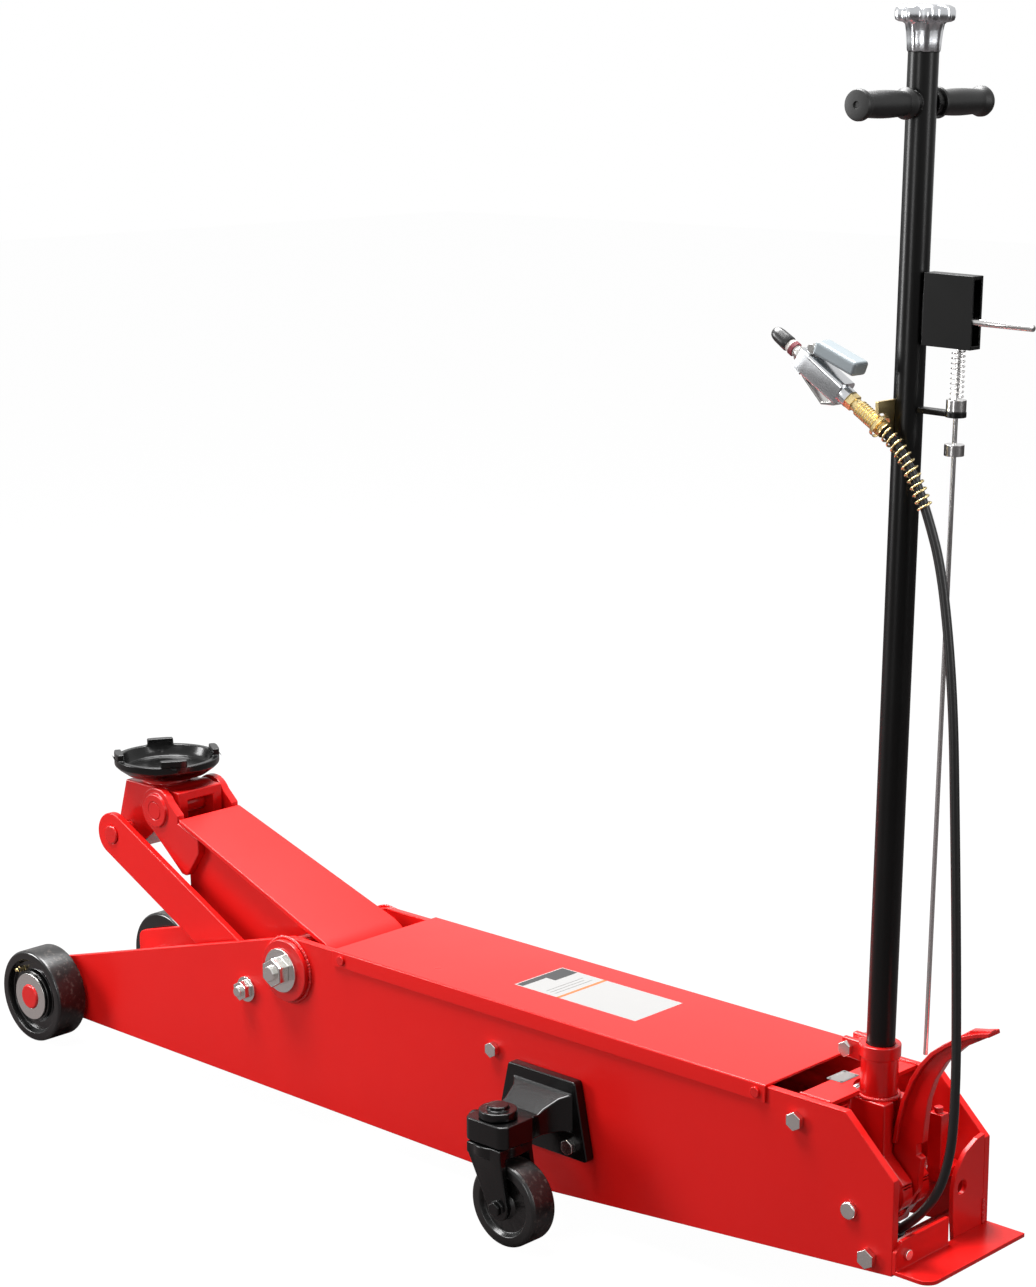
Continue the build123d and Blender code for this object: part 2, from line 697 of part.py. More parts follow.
def caster_wheel(side):
    """Solid moulded wheel with a recessed web."""
    half = CASTER_W / 2
    centre = (CASTER_X + CASTER_TRAIL, side * CASTER_Y, CASTER_R)
    with BuildPart() as wheel:
        with BuildSketch(Plane(origin=centre, x_dir=(1, 0, 0), z_dir=(0, 0, 1))):
            with BuildLine():
                Polyline((6 + RUN, -half), (13, -half), (17, -half + 4), (34, -half + 6),
                         (38, -half), (CASTER_R, -half), (CASTER_R, half), (38, half),
                         (34, half - 6), (17, half - 4), (13, half), (6 + RUN, half), close=True)
            make_face()
        revolve(axis=Axis(centre, (0, 1, 0)))
        rims = wheel.edges().filter_by(GeomType.CIRCLE).filter_by(
            lambda e: abs(e.radius - CASTER_R) < 0.1)
        fillet(rims, 5)
    return wheel


for side, where in ((-1, "near"), (1, "far")):
    bracket = caster_bracket(side)
    keep(bracket, f"caster_bracket_{where}")
    fork = caster_fork(side)
    keep(fork, f"caster_fork_{where}")
    tyre = caster_wheel(side)
    keep(tyre, f"caster_wheel_{where}")

# ================================================================ handle
pivot_local = HANDLE.to_local_coords(Vector(YOKE_PIVOT[0], 0, YOKE_PIVOT[1]))
with BuildPart() as yoke:
    with BuildSketch(side_plane(25)):
        with BuildLine():
            Polyline((606, 236), (606, 168), (634, 128), (641, 96), (659, 96), (672, 116),
                     (684, 150), (656, 176), (656, 236), close=True)
        make_face()
        with Locations(YOKE_PIVOT):
            Circle(25)
        with Locations((650, 96)):
            Circle(9)
        with Locations(YOKE_PIVOT):
            Circle(YOKE_PIN_R + RUN, mode=Mode.SUBTRACT)
    extrude(amount=50)
    # slot for the foot lever, open to the rear
    with BuildSketch(side_plane(6.5)):
        with BuildLine():
            Polyline((632, 240), (632, 150), (636, 109), (700, 90), (700, 240), close=True)
        make_face()
    extrude(amount=13, mode=Mode.SUBTRACT)
    # nose under the pivot that pushes the plunger
    with BuildSketch(side_plane(6.5)):
        with BuildLine():
            Polyline((634, 124), (641, 96), (659, 96), (664, 106), (640, 110), close=True)
        make_face()
    extrude(amount=13)
    fillet(yoke.edges().filter_by(Axis.Z).group_by(Axis.X)[0], 6)
keep(yoke, "yoke")

with BuildPart() as handle_socket:
    with BuildSketch(up_handle(36.6)):
        Circle(21)
        Circle(TUBE_R + 0.1, mode=Mode.SUBTRACT)
    extrude(amount=60)
    with BuildSketch(up_handle(82)):
        Circle(23)
        Circle(TUBE_R + 0.1, mode=Mode.SUBTRACT)
    extrude(amount=15)
    # clamp ears in front of the socket
    with BuildSketch(up_handle(74)):
        with Locations((-30, 10), (-30, -10)):
            Rectangle(26, 8)
        Circle(TUBE_R + 0.1, mode=Mode.SUBTRACT)
    extrude(amount=22)
keep(handle_socket, "handle_socket")

clamp_at = HANDLE.from_local_coords(Vector(-35, 0, 85))
with BuildPart() as clamp_bolt:
    disc_stack(clamp_at.X, clamp_at.Z, 5.9, -5.9, 5)
    hex_head(clamp_at.X, clamp_at.Z, -14, 16, 7, -1)
    hex_head(clamp_at.X, clamp_at.Z, 14, 16, 7, 1)
keep(clamp_bolt, "clamp_bolt")

TUBE_TOP = 1163.0
with BuildPart() as handle_tube:
    with BuildSketch(up_handle(37)):
        Circle(TUBE_R)
        Circle(TUBE_R - 2.6, mode=Mode.SUBTRACT)
    extrude(amount=TUBE_TOP - 37)
    with BuildSketch(up_handle(TUBE_TOP - 20)):
        Circle(TUBE_R - 2.6)
    extrude(amount=20)
    with BuildSketch(up_handle(TUBE_TOP)):
        Circle(TUBE_R + 0.4)
    extrude(amount=4)
    with BuildSketch(up_handle(TUBE_TOP - 30)):
        Circle(6 + RUN)
    extrude(amount=60, mode=Mode.SUBTRACT)
keep(handle_tube, "handle_tube")

with BuildPart() as release_knob:
    with BuildSketch(up_handle(TUBE_TOP + 5)):
        Circle(16.5)
    with BuildSketch(up_handle(TUBE_TOP + 29)):
        Circle(21.5)
    loft()
    with BuildSketch(up_handle(TUBE_TOP + 29)):
        Circle(25.5)
        with PolarLocations(23.5, 8):
            Circle(5.2)
    extrude(amount=16)
    with BuildSketch(up_handle(TUBE_TOP + 45)):
        Circle(19)
    extrude(amount=2)
    with BuildSketch(up_handle(60)):
        Circle(6)
    extrude(amount=TUBE_TOP + 6 - 60)
keep(release_knob, "release_knob")

BAR_HEIGHT = 1112.0
bar_plane = Plane(origin=HANDLE.from_local_coords(Vector(0, 0, BAR_HEIGHT)), x_dir=(1, 0, 0),
                  z_dir=(0, -1, 0))
with BuildPart() as t_bar:
    for side in (-1, 1):
        with BuildSketch(bar_plane.offset(14 if side > 0 else -106)):
            Circle(11)
        extrude(amount=92)
        with BuildSketch(bar_plane.offset(14 if side > 0 else -24)):
            Circle(13)
        extrude(amount=10)
    with BuildSketch(up_handle(BAR_HEIGHT - 30)):
        Circle(TUBE_R)
    extrude(amount=60, mode=Mode.SUBTRACT)
keep(t_bar, "t_bar")

with BuildPart() as grips:
    for side in (-1, 1):
        with BuildSketch(bar_plane.offset(24.5 if side > 0 else -110)):
            Circle(14.6)
        extrude(amount=85.5)
        with BuildSketch(bar_plane.offset(104.5 if side > 0 else -110)):
            Circle(16)
        extrude(amount=5.5)
        with BuildSketch(bar_plane.offset(24.5 if side > 0 else -106)):
            Circle(11.05)
        extrude(amount=81.5, mode=Mode.SUBTRACT)
keep(grips, "grips")

# ---------------------------------------------------------------- latch rod and its lever
BOX_LOW, BOX_HIGH = 868.0, 943.0
BOX_X0, BOX_X1 = 19.0, 80.0
ARM_H = 797.0                      # height of the rod guide up the handle
LEVER_PIVOT_X, LEVER_H = 30.0, 896.0
lever_at = HANDLE.from_local_coords(Vector(LEVER_PIVOT_X, 0, LEVER_H))
with BuildPart() as lever_box:
    with BuildSketch(up_handle(BOX_LOW)):
        with Locations(((BOX_X0 + BOX_X1) / 2, 0)):
            Rectangle(BOX_X1 - BOX_X0, 18)
    extrude(amount=BOX_HIGH - BOX_LOW)
    with BuildSketch(up_handle(BOX_LOW + 4)):
        with Locations(((BOX_X0 + 4 + BOX_X1 + 10) / 2, 0)):
            Rectangle(BOX_X1 + 10 - BOX_X0 - 4, 13)
    extrude(amount=BOX_HIGH - BOX_LOW - 8, mode=Mode.SUBTRACT)
    with BuildSketch(up_handle(BOX_LOW - 1)):
        with Locations((ROD_OFFSET, 0)):
            Circle(ROD_R + 0.4)
    extrude(amount=6, mode=Mode.SUBTRACT)
    with BuildSketch(up_handle(BOX_LOW + 10)):
        with Locations((17.5, 0)):
            Rectangle(7, 8)
        Circle(TUBE_R, mode=Mode.SUBTRACT)
    extrude(amount=46)
    disc_stack(lever_at.X, lever_at.Z, 7, -7, 3)
    with BuildSketch(up_handle(ARM_H)):
        with Locations((ROD_OFFSET / 2, 0)):
            Rectangle(ROD_OFFSET, 12)
        with Locations((ROD_OFFSET, 0)):
            Circle(11)
            Circle(ROD_R + 0.4, mode=Mode.SUBTRACT)
        Circle(TUBE_R, mode=Mode.SUBTRACT)
    extrude(amount=6)
keep(lever_box, "lever_box")

lever_plane = Plane(origin=lever_at, x_dir=(0, 1, 0), z_dir=(cos(lean) , 0, -sin(lean)))
with BuildPart() as hand_lever:
    disc_stack(lever_at.X, lever_at.Z, 6, -6, 6.5)
    with BuildSketch(lever_plane.offset(5)):
        Circle(3.6)
    extrude(amount=114.5)
    disc_stack(lever_at.X, lever_at.Z, 12, -12, 3 + RUN)
    with BuildSketch(side_plane(12)):
        with Locations((lever_at.X, lever_at.Z)):
            Circle(3 + RUN)
    extrude(amount=24, mode=Mode.SUBTRACT)
    fillet(hand_lever.edges().filter_by(GeomType.CIRCLE).sort_by(Axis.X)[-1], 1.5)
keep(hand_lever, "hand_lever")

ROD_LOW = 99.0
with BuildPart() as latch_rod:
    with BuildSketch(up_handle(ROD_LOW)):
        with Locations((ROD_OFFSET, 0)):
            Circle(ROD_R)
    extrude(amount=LEVER_H - 14 - ROD_LOW)
    with BuildSketch(up_handle(LEVER_H - 14)):
        with Locations((ROD_OFFSET, 0)):
            Rectangle(8, 12)
    extrude(amount=28)
    with BuildSketch(up_handle(LEVER_H - 8.5)):
        with Locations((ROD_OFFSET, 0)):
            Rectangle(10, 8)
    extrude(amount=17, mode=Mode.SUBTRACT)
    for height in (ARM_H + 6.3, ARM_H - 40):
        with BuildSketch(up_handle(height)):
            with Locations((ROD_OFFSET, 0)):
                Circle(10.5)
        extrude(amount=12)
keep(latch_rod, "latch_rod")

with BuildPart() as latch_spring:
    with BuildSketch(up_handle(ARM_H + 18.5)):
        with Locations((ROD_OFFSET, 0)):
            Circle(7.5)
            Circle(5.2, mode=Mode.SUBTRACT)
    extrude(amount=BOX_LOW - ARM_H - 18.5)
keep(latch_spring, "latch_spring")

# ---------------------------------------------------------------- foot lever
with BuildPart() as foot_lever:
    with BuildSketch(side_plane(5)):
        with BuildLine():
            Polyline((778, 347), (752, 342), (720, 319), (690, 289), (666, 240), (657, 190),
                     (646, 150), (640, 136), (654, 117), (672, 114), (689, 141), (691, 170),
                     (693, 178), (686, 181), (686, 193), (694, 197), (696, 224), (699, 248),
                     (707, 273), (721, 297), (745, 321), (776, 340), close=True)
        make_face()
        with Locations(YOKE_PIVOT):
            Circle(21)
        with Locations(YOKE_PIVOT):
            Circle(YOKE_PIN_R + RUN, mode=Mode.SUBTRACT)
    extrude(amount=10)
keep(foot_lever, "foot_lever")

# ================================================================ air valve on the hose
VALVE_TIP = Vector(495.5, -38, 1074)
VALVE_END = Vector(648, -38, 977)
valve_dir = (VALVE_END - VALVE_TIP).normalized()
FERRULE_DEEP, FERRULE_END = 158.0, 176.0    # where the hose ends inside, and the ferrule's mouth
VALVE = Plane(origin=VALVE_TIP, x_dir=(0, -1, 0), z_dir=valve_dir)   # local Y points up-rear


def along_valve(s):
    """Plane square to the valve axis, that far from the cap's tip."""
    return VALVE.offset(s)


with BuildPart() as dust_cap:
    with BuildSketch(along_valve(0)):
        Circle(8.5)
    extrude(amount=26)
    fillet(dust_cap.edges().filter_by(GeomType.CIRCLE).sort_by(Axis.X)[0], 4)
keep(dust_cap, "dust_cap")

with BuildPart() as valve_body:
    with BuildSketch(along_valve(47)):
        Rectangle(22, 24)
    with BuildSketch(along_valve(60)):
        Rectangle(24, 26)
    loft()
    with BuildSketch(along_valve(60)):
        RectangleRounded(24, 26, 5)
    extrude(amount=52)
    with BuildSketch(along_valve(112)):
        Circle(10)
    extrude(amount=10)
keep(valve_body, "valve_body")

with BuildPart() as valve_fittings:
    with BuildSketch(along_valve(26)):
        Circle(6.5)
    extrude(amount=21)
    with BuildSketch(along_valve(31)):
        Circle(8)
    extrude(amount=4)
    with BuildSketch(along_valve(122)):
        RegularPolygon(9, 6, major_radius=False)
    extrude(amount=17)
    with BuildSketch(along_valve(139)):
        Circle(9)
    extrude(amount=FERRULE_END - 139)
    with BuildSketch(along_valve(FERRULE_DEEP)):
        Circle(HOSE_R)
    extrude(amount=40, mode=Mode.SUBTRACT)
keep(valve_fittings, "valve_fittings")

lever_up = VALVE.y_dir
if lever_up.Z < 0:
    lever_up = lever_up * -1
TRIGGER_AT = VALVE_TIP + valve_dir * 57 + lever_up * 19
trigger_end = VALVE_TIP + valve_dir * 128 + lever_up * 33
trigger_dir = (trigger_end - TRIGGER_AT).normalized()
TRIGGER = Plane(origin=TRIGGER_AT, x_dir=(0, -1, 0), z_dir=trigger_dir)
with BuildPart() as valve_trigger:
    with BuildSketch(TRIGGER.offset(3)):
        with Locations((0, -3.5)):
            RectangleRounded(24, 16, 5)
    extrude(amount=58)
    disc_stack(TRIGGER_AT.X, TRIGGER_AT.Z, TRIGGER_AT.Y + 11, TRIGGER_AT.Y - 11, 5)
keep(valve_trigger, "valve_trigger")

# ---------------------------------------------------------------- air hose
# route from the inlet elbow up to the ferrule; runs joined by arcs as large as they allow
HOSE_ROUTE = [
    (706, -60, 118), (744, -60, 150), (767, -57, 212), (768, -53, 296), (761, -47, 392),
    (753, -42, 496), (745, -38, 600), (738, -35, 690), (727, -32, 772), (713, -30, 845),
    (697, -31, 893), (680, -34, 935), tuple(VALVE_TIP + valve_dir * 192),
    tuple(VALVE_TIP + valve_dir * FERRULE_DEEP),
]


def route_radii(route):
    """Corner radii: 0.45 of the shorter run over the tangent of half the turn."""
    radii = []
    for a, b, c in zip(route, route[1:], route[2:]):
        first, second = Vector(*b) - Vector(*a), Vector(*c) - Vector(*b)
        turn = radians(first.get_angle(second))
        radii.append(0.45 * min(first.length, second.length) / tan(turn / 2))
    return radii


hose_radii = route_radii(HOSE_ROUTE)
hose_plane = Plane(origin=HOSE_ROUTE[0],
                   z_dir=Vector(*HOSE_ROUTE[1]) - Vector(*HOSE_ROUTE[0]))
with BuildPart() as air_hose:
    with BuildLine():
        hose_path = FilletPolyline(*HOSE_ROUTE, radius=hose_radii)
    with BuildSketch(hose_plane):
        Circle(HOSE_R - 0.02)
    sweep()
keep(air_hose, "air_hose")
print("hose bend radii (mm):", [round(r) for r in hose_radii])
section = 3.14159265 * (HOSE_R - 0.02) ** 2
print("hose length %.0f mm, volume ratio %.4f" % (
    hose_path.length, air_hose.part.volume / (section * hose_path.length)))

bend = Vector(*HOSE_ROUTE[-3])
before = Vector(*HOSE_ROUTE[-4])
guard_start = bend + (before - bend).normalized() * 38
guard_route = [tuple(guard_start), *HOSE_ROUTE[-3:]]
with BuildPart() as hose_guard:
    with BuildLine():
        FilletPolyline(*guard_route, radius=hose_radii[-2:])
    with BuildSketch(Plane(origin=guard_start, z_dir=bend - guard_start)):
        Circle(GUARD_R)
        Circle(HOSE_R + 0.25, mode=Mode.SUBTRACT)
    sweep()
    with BuildSketch(along_valve(139)):
        Circle(12)
    extrude(amount=FERRULE_END + 0.2 - 139, mode=Mode.SUBTRACT)
keep(hose_guard, "hose_guard")

ELBOW = Plane(origin=HOSE_ROUTE[0], z_dir=Vector(*HOSE_ROUTE[1]) - Vector(*HOSE_ROUTE[0]))
with BuildPart() as hose_elbow:
    with BuildSketch(ELBOW):
        Circle(8)
    extrude(amount=-14)
    with BuildSketch(Plane.YZ.offset(682)):
        with Locations((-60, 108)):
            Circle(8)
    extrude(amount=14)
    with BuildSketch(Plane.YZ.offset(652)):
        with Locations((-63, 108)):
            Rectangle(34, 26)
    extrude(amount=30)
    with BuildSketch(side_plane(0)):
        with Locations(YOKE_PIVOT):
            Circle(15.5)
    extrude(amount=90, mode=Mode.SUBTRACT)
keep(hose_elbow, "hose_elbow")

# clip that parks the valve on the handle
CLIP_S = 166.0
clip_centre = VALVE_TIP + valve_dir * (CLIP_S + 2)
with BuildPart() as hose_clip:
    with BuildSketch(along_valve(CLIP_S)):
        Circle(12.5)
        Circle(9.05, mode=Mode.SUBTRACT)
    extrude(amount=4)
    with BuildSketch(Plane.YZ.offset(clip_centre.X - 2)):
        with BuildLine():
            Polyline((-10, 1010), (-10, 972), (-22, 972), (-30, 984), (-44, 994), (-44, 1010),
                     close=True)
        make_face()
    extrude(amount=4)
    with BuildSketch(along_valve(100)):
        Circle(12.4)
    extrude(amount=90, mode=Mode.SUBTRACT)
    with BuildSketch(up_handle(700)):
        Circle(TUBE_R)
    extrude(amount=200, mode=Mode.SUBTRACT)
keep(hose_clip, "hose_clip")

print("pieces:", len(made))
everything = Compound(children=[piece.part for piece in made.values()])
box = everything.bounding_box()
print("size", box.size, "min", box.min, "max", box.max)
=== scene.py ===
"""Finishes and fine detail for the long-chassis floor jack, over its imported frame."""
import json
from math import cos, pi, radians, sin

import bmesh
import bpy
from mathutils import Matrix, Vector


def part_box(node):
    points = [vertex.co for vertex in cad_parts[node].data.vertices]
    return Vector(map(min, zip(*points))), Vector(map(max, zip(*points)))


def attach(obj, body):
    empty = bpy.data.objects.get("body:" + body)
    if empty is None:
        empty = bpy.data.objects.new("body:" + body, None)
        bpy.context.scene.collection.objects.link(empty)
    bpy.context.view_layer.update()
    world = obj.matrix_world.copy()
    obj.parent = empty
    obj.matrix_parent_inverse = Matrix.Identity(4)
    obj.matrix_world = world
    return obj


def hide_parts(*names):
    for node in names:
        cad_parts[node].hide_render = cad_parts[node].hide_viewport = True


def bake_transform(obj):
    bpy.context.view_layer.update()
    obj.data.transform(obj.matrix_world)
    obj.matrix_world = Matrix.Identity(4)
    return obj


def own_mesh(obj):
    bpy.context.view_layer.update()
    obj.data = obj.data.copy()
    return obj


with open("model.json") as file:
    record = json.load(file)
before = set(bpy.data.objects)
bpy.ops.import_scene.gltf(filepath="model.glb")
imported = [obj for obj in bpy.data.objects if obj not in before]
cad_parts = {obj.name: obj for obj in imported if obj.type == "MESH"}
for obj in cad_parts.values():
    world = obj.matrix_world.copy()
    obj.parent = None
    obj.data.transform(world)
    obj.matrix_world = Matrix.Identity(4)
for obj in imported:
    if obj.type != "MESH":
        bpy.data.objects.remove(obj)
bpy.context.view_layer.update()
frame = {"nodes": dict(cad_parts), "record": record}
MM = 0.001

BODY_OF = {node: body for body, nodes in frame["record"]["behaviour"]["bodies"].items()
           for node in nodes}


# ------------------------------------------------------------------ node and colour helpers
def linear(hex_colour):
    """sRGB hex to linear RGBA."""
    channels = [int(hex_colour[i:i + 2], 16) / 255 for i in (1, 3, 5)]
    return [c / 12.92 if c <= 0.04045 else ((c + 0.055) / 1.055) ** 2.4 for c in channels] + [1]


def add(tree, kind, inputs=None, **settings):
    """Adds one node with its settings, and its inputs set or linked."""
    node = tree.nodes.new(kind)
    for name, value in settings.items():
        setattr(node, name, value)
    for name, value in (inputs or {}).items():
        if isinstance(value, bpy.types.NodeSocket):
            tree.links.new(value, node.inputs[name])
        else:
            node.inputs[name].default_value = value
    return node


def per_mm(size_mm):
    """Noise scale whose features are about that many millimetres across."""
    return 1000 / size_mm


def blank(name):
    """An empty node material and its output node."""
    material = bpy.data.materials.new(name)
    material.use_nodes = True
    material.node_tree.nodes.clear()
    output = add(material.node_tree, "ShaderNodeOutputMaterial")
    return material, material.node_tree, output


def coated(name, colour, shade, rough, lump_mm, lump_depth_mm, coat=0.25, specular=0.5,
           metallic=0.0, rough_spread=0.08, stretch=(1, 1, 1), fleck=None):
    """A finish with large soft tone changes, a fine surface grain and uneven gloss.

    shade is the colour it drifts towards, and fleck a (colour, size in mm, share) of small
    marks.
    """
    material, tree, output = blank(name)
    place = add(tree, "ShaderNodeTexCoord")
    turned_place = add(tree, "ShaderNodeMapping", {"Vector": place.outputs["Object"],
                                                  "Scale": stretch})
    where = turned_place.outputs["Vector"]
    broad = add(tree, "ShaderNodeTexNoise", {"Vector": where, "Scale": per_mm(190),
                                             "Detail": 3.0, "Roughness": 0.55})
    tone = add(tree, "ShaderNodeMix", {"Factor": broad.outputs["Fac"], "A": linear(colour),
                                       "B": linear(shade)}, data_type="RGBA")
    broad_steps = add(tree, "ShaderNodeMapRange", {"Value": broad.outputs["Fac"],
                                                   "From Min": 0.2, "From Max": 0.8})
    tree.links.new(broad_steps.outputs["Result"], tone.inputs["Factor"])
    colour_out = tone.outputs["Result"]
    if fleck:
        mark_colour, mark_mm, share = fleck
        marks = add(tree, "ShaderNodeTexNoise", {"Vector": where, "Scale": per_mm(mark_mm),
                                                 "Detail": 6.0, "Roughness": 0.7})
        mark_mask = add(tree, "ShaderNodeMapRange", {"Value": marks.outputs["Fac"],
                                                     "From Min": 0.72 - share * 0.4,
                                                     "From Max": 0.80 - share * 0.4})
        marked = add(tree, "ShaderNodeMix", {"Factor": mark_mask.outputs["Result"],
                                             "A": colour_out, "B": linear(mark_colour)},
                     data_type="RGBA")
        colour_out = marked.outputs["Result"]
    grain = add(tree, "ShaderNodeTexNoise", {"Vector": where, "Scale": per_mm(lump_mm),
                                             "Detail": 4.0, "Roughness": 0.6})
    gloss = add(tree, "ShaderNodeMapRange", {"Value": broad.outputs["Fac"], "From Min": 0.15,
                                             "From Max": 0.85, "To Min": rough - rough_spread / 2,
                                             "To Max": rough + rough_spread / 2})
    bump = add(tree, "ShaderNodeBump", {"Height": grain.outputs["Fac"], "Strength": 0.6,
                                        "Distance": lump_depth_mm * MM})
    shader = add(tree, "ShaderNodeBsdfPrincipled", {
        "Base Color": colour_out, "Roughness": gloss.outputs["Result"],
        "Normal": bump.outputs["Normal"], "Metallic": metallic, "Coat Weight": coat,
        "Coat Roughness": 0.12, "Specular IOR Level": specular})
    tree.links.new(shader.outputs["BSDF"], output.inputs["Surface"])
    return material


# Sprayed gloss alkyd enamel on flame-cut plate: bright red, faint orange peel, clear highlight
RED_PLATE = coated("sprayed_red_enamel_plate", "#de1a17", "#d61614", 0.30, 9, 0.012, coat=0.06,
                   specular=0.25)
# The same enamel over castings and welded parts: the sand-cast skin shows through
RED_CAST = coated("red_enamel_over_casting", "#d41614", "#c21110", 0.24, 5, 0.28, coat=0.35,
                  specular=0.35)
# Gloss black enamel on drawn tube
BLACK_TUBE = coated("gloss_black_enamel_tube", "#040404", "#070707", 0.30, 12, 0.02, coat=0.0,
                    specular=0.3)
# Black enamel on sand castings: lumpy skin, softer gloss
BLACK_CAST = coated("black_enamel_over_casting", "#020202", "#050505", 0.24, 6, 0.30,
                    coat=0.2, rough_spread=0.10, specular=0.3)
# Cast iron wheel face, dipped in black
WHEEL_FACE = coated("dipped_black_wheel_face", "#020202", "#050505", 0.20, 7, 0.16,
                    coat=0.4, rough_spread=0.08)
# Tread rubbed grey by the floor
TREAD = coated("floor_rubbed_tread", "#080707", "#100f0f", 0.34, 5, 0.18, coat=0.15,
               fleck=("#3d3835", 6, 0.46))
NYLON = coated("moulded_black_nylon", "#040404", "#080808", 0.30, 6, 0.12, coat=0.2)
# Bright zinc plate on cold-headed steel
ZINC = coated("bright_zinc_plate", "#f2f1ee", "#cfcdc9", 0.20, 5, 0.05, coat=0.0, metallic=1.0,
              rough_spread=0.12)
# Yellow chromate over zinc
YELLOW_ZINC = coated("yellow_chromate_plate", "#f4e2ae", "#dcbc78", 0.28, 5, 0.04, coat=0.0,
                     metallic=1.0, rough_spread=0.12)
ROD_STEEL = coated("drawn_bright_rod", "#ecebea", "#cfcecd", 0.22, 4, 0.02, coat=0.0,
                   metallic=1.0, stretch=(1, 1, 0.08))
TURNED_STEEL = coated("turned_steel", "#dcdad6", "#bfbdb9", 0.32, 3, 0.03, coat=0.0,
                      metallic=1.0)
# Gravity-cast aluminium, tumbled, not polished
ALLOY = coated("tumbled_cast_aluminium", "#eceef0", "#d2d4d8", 0.20, 9, 0.10, coat=0.0,
               metallic=1.0, rough_spread=0.14)
GRIP = coated("moulded_grip_rubber", "#050505", "#090909", 0.50, 3, 0.10, coat=0.0)
HOSE = coated("extruded_hose_rubber", "#050505", "#090909", 0.38, 4, 0.06, coat=0.05,
              stretch=(1, 1, 0.25))
CAP_RUBBER = coated("dipped_vinyl_cap", "#0e0e0f", "#161616", 0.35, 4, 0.05)
FROSTED = coated("frosted_polythene", "#8f979b", "#7d868b", 0.34, 9, 0.10, coat=0.1)
MAROON = coated("maroon_moulded_collar", "#7c2430", "#5c1a24", 0.45, 4, 0.05)
WHITE_PLASTIC = coated("white_moulded_ring", "#e4e2de", "#d6d3cd", 0.4, 4, 0.05)
LABEL_WHITE = coated("printed_label_white", "#8c8b8a", "#868584", 0.42, 12, 0.02)
LABEL_BLACK = coated("printed_label_black", "#0c0c0e", "#121214", 0.42, 12, 0.02)
LABEL_ORANGE = coated("printed_label_orange", "#c8560c", "#be4f0a", 0.42, 12, 0.02)
LABEL_GREY = coated("printed_label_grey", "#6e6c6a", "#666462", 0.42, 12, 0.02)


# ------------------------------------------------------------------ mesh helpers
def shaded(mesh, angle=35):
    """Smooth faces with creases kept sharp."""
    mesh.shade_smooth()
    mesh.set_sharp_from_angle(angle=radians(angle))
    return mesh


def piece(name, mesh, materials, body, stands_for=()):
    """Links a finished mesh as a piece that rides on a body."""
    obj = bpy.data.objects.new(name, mesh)
    bpy.context.collection.objects.link(obj)
    for material in materials if isinstance(materials, (list, tuple)) else [materials]:
        mesh.materials.append(material)
    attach(obj, body)
    if stands_for:
        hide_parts(*stands_for)
    return obj


def soften(obj, width_mm, segments=2, clamp=False):
    """Rounds the sharp edges, as deburring and paint do."""
    bevel = obj.modifiers.new("edge_round", "BEVEL")
    bevel.width = width_mm * MM
    bevel.segments = segments
    bevel.limit_method = "ANGLE"
    bevel.angle_limit = radians(32)
    bevel.use_clamp_overlap = clamp
    bevel.harden_normals = True
    return obj


def dressed(node, material, edge_mm=0.8, second=None, is_second=None, clamp=False):
    """A clean copy of a CAD node, with rounded edges and up to two finishes."""
    mesh = frame["nodes"][node].data.copy()
    mesh.materials.clear()
    shape = bmesh.new()
    shape.from_mesh(mesh)
    bmesh.ops.remove_doubles(shape, verts=shape.verts, dist=2e-6)
    bmesh.ops.dissolve_limit(shape, angle_limit=radians(0.6), verts=shape.verts,
                             edges=shape.edges)
    if second:
        for face in shape.faces:
            face.material_index = 1 if is_second(face.calc_center_median(), face.normal) else 0
    else:
        for face in shape.faces:
            face.material_index = 0
    shape.to_mesh(mesh)
    shape.free()
    shaded(mesh)
    obj = piece("jack_" + node, mesh, [material, second] if second else material,
                BODY_OF[node], [node])
    if edge_mm:
        soften(obj, edge_mm, clamp=clamp)
    return obj


def solid(name, verts, faces, angle=35):
    """A mesh from points and faces, merged, closed and facing outwards."""
    mesh = bpy.data.meshes.new(name)
    mesh.from_pydata([tuple(v) for v in verts], [], faces)
    shape = bmesh.new()
    shape.from_mesh(mesh)
    bmesh.ops.remove_doubles(shape, verts=shape.verts, dist=1e-6)
    bmesh.ops.recalc_face_normals(shape, faces=shape.faces)
    shape.to_mesh(mesh)
    shape.free()
    return shaded(mesh, angle)


def axes_from(direction):
    """Two unit vectors square to a direction."""
    along = Vector(direction).normalized()
    side = along.cross(Vector((0, 0, 1)))
    if side.length < 1e-4:
        side = Vector((1, 0, 0))
    side.normalize()
    return along, side, along.cross(side).normalized()


def turned(name, profile, origin, direction, segments=56, ripple=None):
    """A turned form: profile is (distance along, radius) in mm from origin.

    ripple(angle, distance) scales the radius, for lobes and flutes.
    """
    along, side, up = axes_from(direction)
    verts, faces = [], []
    for distance, radius in profile:
        for step in range(segments):
            angle = 2 * pi * step / segments
            reach = radius * (ripple(angle, distance) if ripple else 1)
            verts.append(Vector(origin) + along * distance * MM
                         + (side * cos(angle) + up * sin(angle)) * reach * MM)
    for ring in range(len(profile) - 1):
        for step in range(segments):
            a, b = ring * segments + step, ring * segments + (step + 1) % segments
            faces.append((a, b, b + segments, a + segments))
    for ring, end in ((0, profile[0]), (len(profile) - 1, profile[-1])):
        if end[1] > 0:
            faces.append(tuple(range(ring * segments, (ring + 1) * segments)))
    return solid(name, verts, faces)


